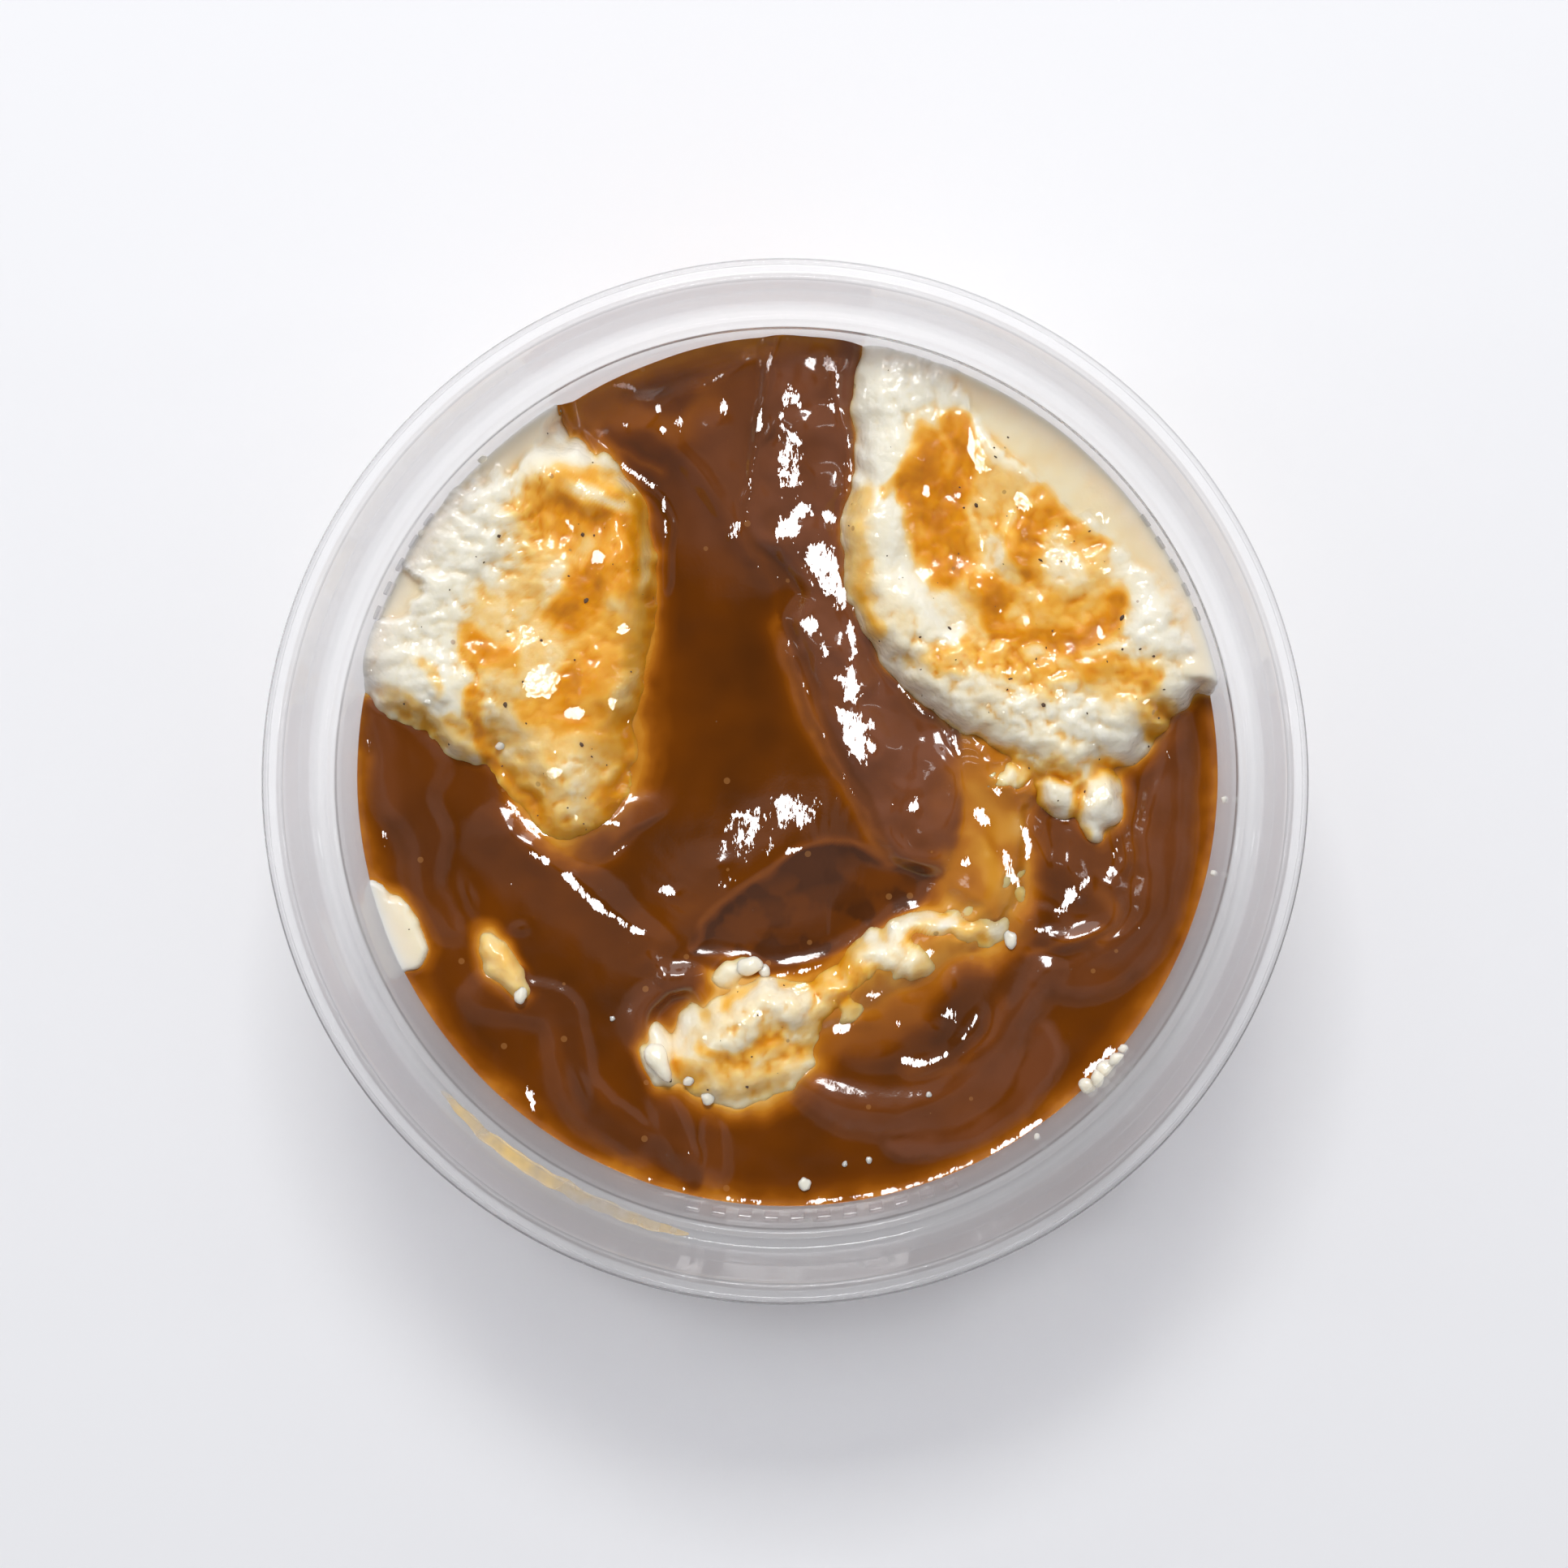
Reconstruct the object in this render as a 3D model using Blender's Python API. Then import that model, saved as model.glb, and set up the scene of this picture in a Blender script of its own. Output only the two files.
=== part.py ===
"""Mashed potato side with brown gravy, in a round clear tub.

Three solids: the thin-walled tub, the mash that lies in it in three scooped
mounds, and the pool of set gravy that fills the space between them.
Sizes are in millimetres and are turned into metres when a mesh is made.
The origin is the middle of the tub's foot, +Z up, and +Y points to the back.
"""
import math

import bmesh
import bpy
import numpy as np
from mathutils import Vector

MM = 0.001

# Tub, turned about the Z axis
TUB_HEIGHT = 45.0
RIM_RADIUS = 58.5
TUB_WALL = 0.8
FOOT_HEIGHT = 0.9
FOOT_INNER_RADIUS = 43.6
FOOT_OUTER_RADIUS = 46.0
WALL_FOOT_RADIUS = 47.3
WALL_FOOT_Z = 2.6
LEDGE_Z = 32.2
LEDGE_RISE = 1.2
LEDGE_IN_RADIUS = 51.1
LEDGE_OUT_RADIUS = 54.1
COLLAR_TOP_RADIUS = 56.1
LIP_ROLL = 0.9
LIP_DEPTH = 2.6
TUB_SEGMENTS = 60

# What the tub holds
GAP = 0.3
CUT_GAP = 0.35
DISC_RINGS = 38
CONTENTS_FLOOR = FOOT_HEIGHT + TUB_WALL + GAP
CONTENTS_FOOT_RADIUS = 45.6
CONTENTS_FOOT_Z = 3.6
WALL_BLEND = 6.0
BED_Z = 14.0
GRAVY_FLOOR = 8.0
SHORE_Z = 24.5
CORNER_ROUNDING = 1.0
LUMP_STEEPNESS = 0.8
MASH_SHARE = 0.22
GRAVY_SHARE = 0.14

# Each mound: the line where it comes out of the gravy, how high it stands,
# how far inside that line it is full height, and how far outside it has sunk.
MOUNDS = {
    "left": {
        "line": [(-54, 11), (-43.5, 6), (-34.5, 2), (-28.5, -4), (-25, -6.5), (-20.5, -2),
                 (-17.5, 8), (-14.5, 20), (-14.5, 31), (-18, 37), (-23.5, 40), (-29, 50), (-50, 34)],
        "top": 30.2, "rise": 9.0, "fall": 8.0},
    "right": {
        "line": [(9, 54), (8, 40), (7, 30), (9, 20), (15, 10), (24, 3.5), (31, -0.5), (37, -2),
                 (41, 3.5), (46, 8), (55, 10), (50, 36), (30, 54)],
        "top": 31.0, "rise": 7.0, "fall": 7.0},
    "front": {
        "line": [(-12.5, -33), (-9.5, -25.5), (-2, -22.5), (8, -19), (15, -15.5), (22, -16.5),
                 (26, -24), (20, -32.5), (8, -35), (-5, -37.5)],
        "top": 27.8, "rise": 8.0, "fall": 7.0},
    "neck": {
        "line": [(20, 8), (19, 0), (19.5, -10), (20, -20), (26, -18), (28, -8), (29.5, 2), (28, 8)],
        "top": 26.4, "rise": 4.0, "fall": 6.0},
    "wall patch": {
        "line": [(-54, -12), (-43, -13.5), (-41.5, -18), (-42.5, -22), (-52, -27)],
        "top": 25.8, "rise": 4.0, "fall": 5.0},
}

# Lumps on and beside the mounds: x, y, long and short half-width, turn in degrees, top
LUMPS = [
    (-33.0, 26.0, 11.0, 7.0, 40.0, 32.0),
    (-38.0, 12.0, 9.0, 6.0, -20.0, 31.0),
    (-24.0, 8.0, 7.0, 5.5, 60.0, 31.4),
    (-25.5, -1.5, 4.5, 3.5, 0.0, 29.0),
    (-22.0, 27.0, 6.0, 5.0, 80.0, 31.6),
    (17.0, 24.0, 8.5, 5.5, -50.0, 33.2),
    (26.0, 14.0, 9.0, 6.0, -25.0, 33.0),
    (35.0, 23.0, 9.0, 7.5, 40.0, 32.8),
    (14.5, 38.0, 6.5, 5.0, 80.0, 32.4),
    (36.0, 7.0, 6.0, 5.0, 20.0, 31.0),
    (35.0, -3.5, 3.4, 2.8, 0.0, 28.0),
    (18.0, -21.5, 7.0, 5.0, 20.0, 29.2),
    (2.0, -29.0, 9.0, 5.5, 15.0, 28.8),
    (-6.0, -32.0, 4.5, 3.5, 0.0, 28.4),
    (-33.0, -22.0, 3.6, 2.4, -50.0, 26.0),
]

# Gravy surface
GRAVY_LEVEL = 24.2
BACK_GRAVY = {"centre": (-2.0, 54.0), "across": 24.0, "along": 36.0, "rise": 5.6}
NECK_GRAVY = {"centre": (21.5, -5.0), "across": 10.0, "along": 14.0, "rise": 3.6}

# Folds of the set skin: route, half-width, height
FOLDS = [
    ([(-1, 49), (1, 38), (2.5, 29), (3.5, 19), (8, 6), (15, -3)], 4.6, 1.9),
    ([(-3.5, 37), (-5, 30), (-5.5, 23)], 1.6, 0.7),
    ([(-44, 2), (-39.5, -8.5), (-36, -18), (-29, -27), (-26, -34), (-20, -44), (-14, -48)], 3.0, 1.0),
    ([(-34, -3), (-27, -11), (-18, -17)], 2.6, 0.9),
    ([(41, -7), (38.5, -15), (32, -18), (24, -15)], 3.0, 1.0),
    ([(31, -21), (28, -28), (24, -34), (12, -39), (3, -38)], 2.8, 0.9),
    ([(-14, -38), (-11, -47)], 2.2, 0.8),
]

# The hollow that the gravy leaves in front of the tongue: ellipse and depth
HOLLOW = {"centre": (5.0, -15.0), "across": 13.5, "along": 6.0, "turn": 22.0, "depth": 3.0}


def inner_wall_radius(z):
    """Radius of the tub's inner face below the ledge."""
    slope = (LEDGE_IN_RADIUS - WALL_FOOT_RADIUS) / (LEDGE_Z - WALL_FOOT_Z)
    return WALL_FOOT_RADIUS + slope * (z - WALL_FOOT_Z)


def arc(centre_r, centre_z, radius, start, end, steps):
    """Points of an arc in the profile plane, with angles in degrees."""
    angles = np.radians(np.linspace(start, end, steps))
    return [(centre_r + radius * math.cos(a), centre_z + radius * math.sin(a)) for a in angles]


def tub_profile():
    """Closed profile (radius, z): up the outside, over the lip, down the inside."""
    wall = TUB_WALL
    ledge_top = LEDGE_Z + LEDGE_RISE
    lip_r = RIM_RADIUS - LIP_ROLL
    lip_z = TUB_HEIGHT - LIP_ROLL
    outside = [(0.0, FOOT_HEIGHT), (FOOT_INNER_RADIUS, FOOT_HEIGHT)]
    outside += [(FOOT_INNER_RADIUS + FOOT_HEIGHT, 0.0), (FOOT_OUTER_RADIUS, 0.0)]
    outside += arc(FOOT_OUTER_RADIUS, WALL_FOOT_Z, WALL_FOOT_RADIUS + wall - FOOT_OUTER_RADIUS, -50, 0, 4)
    outside += [(LEDGE_IN_RADIUS + wall, LEDGE_Z - wall), (LEDGE_OUT_RADIUS + wall, ledge_top - wall)]
    outside += [(COLLAR_TOP_RADIUS + wall, TUB_HEIGHT - LIP_ROLL - wall)]
    outside += [(lip_r - wall, lip_z - wall + 0.3), (RIM_RADIUS - wall, lip_z - wall)]
    outside += [(RIM_RADIUS - wall, TUB_HEIGHT - LIP_DEPTH), (RIM_RADIUS, TUB_HEIGHT - LIP_DEPTH)]
    lip = arc(lip_r, lip_z, LIP_ROLL, 0, 90, 5)
    lip += arc(COLLAR_TOP_RADIUS + LIP_ROLL, lip_z, LIP_ROLL, 90, 180, 5)
    inside = [(LEDGE_OUT_RADIUS, ledge_top), (LEDGE_IN_RADIUS + 1.0, LEDGE_Z + 0.8 * LEDGE_RISE)]
    inside += [(LEDGE_IN_RADIUS, LEDGE_Z)]
    inside += arc(FOOT_OUTER_RADIUS, WALL_FOOT_Z, WALL_FOOT_RADIUS - FOOT_OUTER_RADIUS, 0, -70, 4)
    inside += [(FOOT_INNER_RADIUS + FOOT_HEIGHT + 0.2, wall)]
    inside += [(FOOT_INNER_RADIUS - 0.2, FOOT_HEIGHT + wall), (0.0, FOOT_HEIGHT + wall)]
    return outside + lip + inside


def smooth_step(t):
    """0 below 0, 1 above 1, and an S-curve between."""
    t = np.clip(t, 0.0, 1.0)
    return t * t * (3.0 - 2.0 * t)


def soft_max(a, b):
    """The larger of two heights, with a rounded inner corner where they meet."""
    return 0.5 * (a + b + np.sqrt((a - b) ** 2 + CORNER_ROUNDING ** 2))


def rounded_line(points, closed, steps=6):
    """Catmull-Rom curve through the points."""
    points = np.array(points, float)
    if closed:
        padded = np.vstack([points[-1], points, points[:2]])
    else:
        padded = np.vstack([2 * points[0] - points[1], points, 2 * points[-1] - points[-2]])
    curve = []
    for a, b, c, d in zip(padded[:-3], padded[1:-2], padded[2:-1], padded[3:]):
        for t in np.arange(steps) / steps:
            curve.append(0.5 * (2 * b + (c - a) * t + (2 * a - 5 * b + 4 * c - d) * t * t
                                + (3 * b - a - 3 * c + d) * t ** 3))
    if not closed:
        curve.append(points[-1])
    return np.array(curve)


def distance_to_line(x, y, line):
    """Distance from each point to an open line."""
    best = np.full(x.shape, 1e9)
    for (ax, ay), (bx, by) in zip(line[:-1], line[1:]):
        length_squared = (bx - ax) ** 2 + (by - ay) ** 2
        t = np.clip(((x - ax) * (bx - ax) + (y - ay) * (by - ay)) / length_squared, 0.0, 1.0)
        best = np.minimum(best, np.hypot(x - ax - t * (bx - ax), y - ay - t * (by - ay)))
    return best


def distance_inside(x, y, outline):
    """Distance to a closed outline, positive inside it."""
    ring = np.vstack([outline, outline[:1]])
    inside = np.zeros(x.shape, bool)
    for (ax, ay), (bx, by) in zip(ring[:-1], ring[1:]):
        if ay != by:
            crosses = (ay > y) != (by > y)
            inside ^= crosses & (x < (bx - ax) * (y - ay) / (by - ay) + ax)
    distance = distance_to_line(x, y, ring)
    return np.where(inside, distance, -distance)


def ellipse_radius(x, y, centre, half_long, half_short, turn):
    """1 on the turned ellipse, less inside it."""
    c, s = math.cos(math.radians(turn)), math.sin(math.radians(turn))
    u = (x - centre[0]) * c + (y - centre[1]) * s
    v = (y - centre[1]) * c - (x - centre[0]) * s
    return np.hypot(u / half_long, v / half_short)


def mash_height(x, y):
    """Top of the mash: a bed, the mounds that rise from it, and their lumps."""
    height = np.full(x.shape, BED_Z)
    for mound in MOUNDS.values():
        distance = distance_inside(x, y, rounded_line(mound["line"], closed=True))
        above = (mound["top"] - SHORE_Z) * smooth_step(0.5 + 0.5 * distance / mound["rise"]) * 2.0
        above = above - (mound["top"] - SHORE_Z)
        below = (BED_Z - SHORE_Z) * np.clip(-distance / mound["fall"], 0.0, 1.0)
        height = soft_max(height, SHORE_Z + np.where(distance > 0.0, above, below))
    for lump_x, lump_y, half_long, half_short, turn, top in LUMPS:
        radius = ellipse_radius(x, y, (lump_x, lump_y), half_long, half_short, turn)
        height = soft_max(height, top - LUMP_STEEPNESS * half_short * radius ** 3)
    return height


def bump(x, y, place):
    """A soft rounded rise over an ellipse."""
    radius = ellipse_radius(x, y, place["centre"], place["across"], place["along"], place.get("turn", 0.0))
    return smooth_step(1.0 - radius)


def gravy_height(x, y):
    """Top of the gravy: level at the front, drawn up at the back, with folds."""
    height = np.full(x.shape, GRAVY_LEVEL)
    height += BACK_GRAVY["rise"] * bump(x, y, BACK_GRAVY)
    height += NECK_GRAVY["rise"] * bump(x, y, NECK_GRAVY)
    for route, half_width, rise in FOLDS:
        across = distance_to_line(x, y, rounded_line(route, closed=False)) / half_width
        height += rise * smooth_step(1.5 - across)
    hollow = ellipse_radius(x, y, HOLLOW["centre"], HOLLOW["across"], HOLLOW["along"], HOLLOW["turn"])
    height -= HOLLOW["depth"] * smooth_step(1.4 - hollow)
    return height


def new_object(name, bm):
    """Object made of a bmesh whose sizes are in millimetres."""
    bmesh.ops.scale(bm, vec=Vector((MM, MM, MM)), verts=bm.verts)
    bmesh.ops.recalc_face_normals(bm, faces=bm.faces)
    mesh = bpy.data.meshes.new(name)
    bm.to_mesh(mesh)
    bm.free()
    mesh.shade_smooth()
    mesh.set_sharp_from_angle(angle=math.radians(35))
    thing = bpy.data.objects.new(name, mesh)
    bpy.context.scene.collection.objects.link(thing)
    return thing


def filled_disc(name, top_of, floor):
    """Closed solid under a height, out to the tub's wall and down to a floor."""
    bm = bmesh.new()
    reach = inner_wall_radius(GRAVY_LEVEL) - GAP
    x, y = [0.0], [0.0]
    for ring in range(1, DISC_RINGS + 1):
        angles = np.linspace(0.0, 2.0 * math.pi, 6 * ring, endpoint=False)
        x.extend(reach * ring / DISC_RINGS * np.cos(angles))
        y.extend(reach * ring / DISC_RINGS * np.sin(angles))
    x, y = np.array(x), np.array(y)
    z = top_of(x, y)
    radius = np.hypot(x, y)
    near_wall = smooth_step((radius - reach + WALL_BLEND) / WALL_BLEND)
    spread = 1.0 + near_wall * (inner_wall_radius(z) - GAP - reach) / reach
    top = [bm.verts.new(p) for p in zip(x * spread, y * spread, z)]
    start = [0] + [1 + 3 * ring * (ring - 1) for ring in range(1, DISC_RINGS + 1)]
    for ring in range(1, DISC_RINGS + 1):
        outer, inner = 6 * ring, max(1, 6 * (ring - 1))
        for sector in range(6):
            for step in range(ring):
                a = start[ring] + (sector * ring + step) % outer
                b = start[ring] + (sector * ring + step + 1) % outer
                c = start[ring - 1] + (sector * (ring - 1) + step) % inner
                bm.faces.new((top[a], top[b], top[c]))
                if step < ring - 1:
                    d = start[ring - 1] + (sector * (ring - 1) + step + 1) % inner
                    bm.faces.new((top[c], top[b], top[d]))
    rim = top[start[DISC_RINGS]:]
    foot_z = max(floor, CONTENTS_FOOT_Z)
    foot_r = inner_wall_radius(foot_z) - GAP
    levels = [(foot_r, foot_z)]
    if floor < CONTENTS_FOOT_Z:
        levels.append((CONTENTS_FOOT_RADIUS, floor))
    for level_radius, level_z in levels:
        below = []
        for vert in rim:
            angle = math.atan2(vert.co.y, vert.co.x)
            below.append(bm.verts.new((level_radius * math.cos(angle), level_radius * math.sin(angle), level_z)))
        for index in range(len(rim)):
            after = (index + 1) % len(rim)
            bm.faces.new((rim[index], below[index], below[after], rim[after]))
        rim = below
    bm.faces.new(rim)
    return new_object(name, bm)


def thin_out(thing, share):
    """Fewer, larger faces where the surface is plain."""
    modifier = thing.modifiers.new("Fewer faces", "DECIMATE")
    modifier.decimate_type = "COLLAPSE"
    modifier.ratio = share
    modifier.use_collapse_triangulate = True


def paint(thing, name, colour, roughness, alpha=1.0):
    """The sub-part's own material."""
    material = bpy.data.materials.new(name)
    material.use_nodes = True
    shader = material.node_tree.nodes["Principled BSDF"]
    shader.inputs["Base Color"].default_value = (*colour, 1.0)
    shader.inputs["Roughness"].default_value = roughness
    shader.inputs["Metallic"].default_value = 0.0
    shader.inputs["Alpha"].default_value = alpha
    thing.data.materials.append(material)


def make_tub():
    """The thin clear tub, its profile spun once round."""
    bm = bmesh.new()
    profile = [bm.verts.new((r, 0.0, z)) for r, z in tub_profile()]
    edges = [bm.edges.new(pair) for pair in zip(profile[:-1], profile[1:])]
    bmesh.ops.spin(bm, geom=profile + edges, cent=(0, 0, 0), axis=(0, 0, 1),
                   angle=2.0 * math.pi, steps=TUB_SEGMENTS, use_merge=True)
    bmesh.ops.remove_doubles(bm, verts=bm.verts, dist=0.001)
    tub = new_object("tub", bm)
    paint(tub, "Clear plastic", (0.88, 0.89, 0.91), 0.12, alpha=0.35)


def make_mash():
    """The mash, with its three mounds."""
    mash = filled_disc("mash", mash_height, CONTENTS_FLOOR)
    thin_out(mash, MASH_SHARE)
    paint(mash, "Mashed potato", (0.86, 0.78, 0.62), 0.45)
    return mash


def make_gravy(mash):
    """The gravy, cut where the mash stands in it, with a thin gap."""
    cutter = bpy.data.objects.new("mash cutter", mash.data.copy())
    bpy.context.scene.collection.objects.link(cutter)
    thin_out(cutter, MASH_SHARE)
    grow = cutter.modifiers.new("Gap", "DISPLACE")
    grow.mid_level = 0.0
    grow.strength = CUT_GAP * MM
    cutter.hide_render = True
    cutter.display_type = "WIRE"
    gravy = filled_disc("gravy", gravy_height, GRAVY_FLOOR)
    thin_out(gravy, GRAVY_SHARE)
    cut = gravy.modifiers.new("Room for the mash", "BOOLEAN")
    cut.operation = "DIFFERENCE"
    cut.solver = "EXACT"
    cut.object = cutter
    paint(gravy, "Brown gravy", (0.13, 0.03, 0.004), 0.16)


def main():
    for thing in list(bpy.data.objects):
        bpy.data.objects.remove(thing, do_unlink=True)
    make_tub()
    make_gravy(make_mash())


main()
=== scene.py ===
"""Looks of a mashed potato side with brown gravy in a clear round tub.

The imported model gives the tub's box. The food is worked out as heights over
the tub's floor, on one square raster in millimetres, and each piece is a mesh
shaped by those heights. +Y is the back of the tub and +Z is up.
"""
import functools
import math

import bpy
import numpy as np
from mathutils import Matrix, Vector


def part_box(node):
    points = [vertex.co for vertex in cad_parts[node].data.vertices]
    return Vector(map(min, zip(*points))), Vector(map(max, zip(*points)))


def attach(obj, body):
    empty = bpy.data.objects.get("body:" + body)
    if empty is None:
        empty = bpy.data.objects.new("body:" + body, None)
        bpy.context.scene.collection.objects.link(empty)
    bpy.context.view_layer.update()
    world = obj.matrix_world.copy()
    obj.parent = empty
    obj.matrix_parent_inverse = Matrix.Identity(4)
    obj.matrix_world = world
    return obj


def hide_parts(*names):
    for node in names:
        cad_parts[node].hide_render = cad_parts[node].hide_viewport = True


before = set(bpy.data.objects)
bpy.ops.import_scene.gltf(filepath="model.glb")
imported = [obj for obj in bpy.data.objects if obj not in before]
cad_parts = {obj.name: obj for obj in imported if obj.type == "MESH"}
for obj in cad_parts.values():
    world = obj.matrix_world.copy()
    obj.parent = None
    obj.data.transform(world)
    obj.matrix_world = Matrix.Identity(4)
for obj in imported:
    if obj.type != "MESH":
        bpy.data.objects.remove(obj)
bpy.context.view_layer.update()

bl_info = {
    "name": "Mashed potato side",
    "version": (1, 0, 0),
    "blender": (4, 5, 0),
    "location": "3D View > Sidebar > Mashed potato",
    "description": "Builds a clear tub of mashed potato and brown gravy",
    "category": "Add Mesh",
}

MM = 0.001
TUB_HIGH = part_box("tub")[1]

# Tub, millimetres
RIM_RADIUS = TUB_HIGH.x / MM
TUB_HEIGHT = TUB_HIGH.z / MM
TUB_WALL = 0.8
FOOT_HEIGHT = 0.9
FOOT_INNER_RADIUS = 43.6
FOOT_OUTER_RADIUS = 46.0
WALL_FOOT_RADIUS = 47.3
WALL_FOOT_Z = 2.6
LEDGE_Z = 32.2
LEDGE_RISE = 1.2
LEDGE_IN_RADIUS = 51.1
LEDGE_OUT_RADIUS = 54.1
COLLAR_TOP_RADIUS = 56.1
LIP_DEPTH = 2.6

# Bead and groove along the ledge: radius, height over the ledge, rounding
LEDGE_BEAD = [
    (53.0, 0.0, 0.15), (52.6, 0.4, 0.15), (52.2, -0.4, 0.2), (51.7, -0.45, 0.15), (51.45, -0.1, 0.1),
]

# Stacking lugs and the smear on the ledge, millimetres and degrees
LUG_DEPTH = 0.6
LUG_LOW_Z = 27.6
LUG_STEP = 3.45
LUG_GROUPS = [(257.7, 11), (22.0, 5), (144.0, 5)]
SMEAR_ANGLES = (222.0, 258.0)
SMEAR_RADIUS = 53.3
SMEAR_HALF_WIDTH = 0.8

# Rings of the rim painted as dark lines, a painted shade of the light bent at the moulded steps, and also
# raised as bumps: radius, half-width, strength
RINGS = [(58.45, 0.14, 0.35), (56, 0.2, 0.5), (54, 0.35, 0.08), (51.6, 0.17, 0.35), (50.7, 0.16, 0.35)]

# Potato bits on the gravy: x, y, half-width, length
GRAVY_BITS = [
    (-15, -32.9, 1.3, 1.9), (-9.2, -37.4, 0.9, 1), (-4.5, -22, 1.1, 1.5), (-2.6, -22.6, 0.7, 1.2),
    (2.1, -47.6, 0.7, 1.1), (6.8, -45.2, 0.3, 1.2), (9.6, -44.8, 0.35, 1.4), (26.1, -18.8, 0.8, 1.4),
    (-31, -25.4, 0.8, 1.2), (-11.4, -35.4, 0.6, 1.3), (16.6, -37, 0.35, 1), (-20.4, -28.2, 0.3, 1),
    (-33.2, 3.8, 0.5, 1.4),
]

# Potato bits on the wall: angle in degrees, z, half-width, length
WALL_BITS = [
    (-45.6, 26.2, 0.9, 1.3), (-44, 27.4, 0.8, 1.4), (-42.4, 26.4, 0.9, 1.5), (-40.4, 27, 0.7, 1.4),
    (-38.8, 26.4, 0.5, 1.2), (-2.6, 29, 0.35, 1.2), (-12.4, 28.6, 0.35, 1.2), (-55, 28.8, 0.35, 1.2),
    (146, 30.2, 0.4, 1), (133.5, 30.4, 0.5, 1.2),
]

# Lean of the wet facets at the middle of the tub, and how it turns across it
FACET_LEAN = (-0.006, 0.314)
FACET_TURN = 0.00117

# Colours of the materials
PLASTIC_EDGE = (0.72, 0.71, 0.74)
PAINTED_RING_SHADE = (0.20, 0.20, 0.22)
PLASTIC_SHADOW = (0.47, 0.47, 0.48)
PALE_CREAM = (0.99, 0.875, 0.76)
# Painted grey haze on mash next to the wall, standing in for its look through the clear plastic
PAINTED_WALL_HAZE = (0.80, 0.79, 0.75)
SKIN_FLECK = (0.25, 0.13, 0.05)
GRAVY_FLECK = (0.45, 0.20, 0.06)
PEPPER_DARK = (0.02, 0.012, 0.008)
PEPPER_BROWN = (0.16, 0.08, 0.035)
DRIED_GRAVY = (0.80, 0.56, 0.22)

# Mash by how much gravy has soaked in: share, colour
SOAKED_MASH = [
    (0.0, (0.98, 0.79, 0.52)), (0.3, (0.95, 0.63, 0.23)), (0.5, (0.90, 0.49, 0.07)),
    (0.75, (0.80, 0.33, 0.004)), (1.0, (0.62, 0.22, 0.002)),
]

# Gravy depth past which its colour stays the same, in millimetres
DEEPEST_GRAVY = 8.0

# Share of the finer layers in each noise texture
NOISE_ROUGHNESS = 0.55

# How level a place must be to carry wet facets, and how crisp their edges are
FACET_UPWARD = 0.3
FACET_CRISPNESS = 9.0

# Seeds of the random draws
SHINE_SEED = 5
PEPPER_SEED = 7
BITS_SEED = 11

# Small facets scattered over the bare mash
TINY_SHINES = 170

# Ground pepper, millimetres: places of the larger flakes, where the rest may fall, and ranges of half-width
PEPPER_PLACES = [
    (21.8, 31.5), (29.2, 25.2), (29.6, 8.6), (38.6, 18.6), (38.6, 15), (42.2, 14.2), (15.4, 16.4),
    (25.8, 11.6), (18.8, 17.4), (-33, 28), (-23.4, 28.2), (-25, 23.4), (-23, 20.6), (-28.2, 16),
    (-32.4, 8.6), (-23.6, 4), (-9.2, -36.4), (-4.6, -36), (-13.6, -35.4), (24, 37),
]
PEPPER_HALF_SIDE = 48.0
PEPPER_REACH = 49.0
LARGE_FLAKES = (0.2, 0.38)
SMALL_FLAKES = (0.06, 0.2)

# Stage, metres: the floor, and the lights' names, places, widths, heights and settings of power
FLOOR_SIDE = 6.0
FLOOR_DROP = 0.0002
LIGHTS = [
    ("Key", (-0.03, 0.62, 0.98), 0.36, 0.24, "key"), ("Side light", (-1.1, 0.1, 0.75), 0.06, 0.7, "side"),
    ("Side light", (1.1, 0.1, 0.75), 0.06, 0.7, "side"),
    ("Back light", (-0.15, 1.25, 1.05), 1.2, 0.6, "back"),
]
LIGHT_TARGET = (0.0, 0.0, 0.03)

# Camera: its place off the middle in metres, sensor in millimetres, frame's width over the rim's
CAMERA_SHIFT = (0.007, 0.016)
SENSOR_WIDTH = 36.0
FRAME_TO_RIM = 1.494662

# Food, millimetres
REACH = 0.12
BED_Z = 14.0
SHORE_Z = 24.5
GRAVY_LEVEL = 24.2
CONTENTS_FLOOR = FOOT_HEIGHT + TUB_WALL - REACH
CONTENTS_FOOT_Z = 3.6
CONTENTS_FOOT_RADIUS = 45.6
WALL_BLEND = 6.0
RASTER_HALF = 54.0
RASTER_STEP = 0.25
WHOLE = np.s_[:, :]
FAR = 1e9

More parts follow.
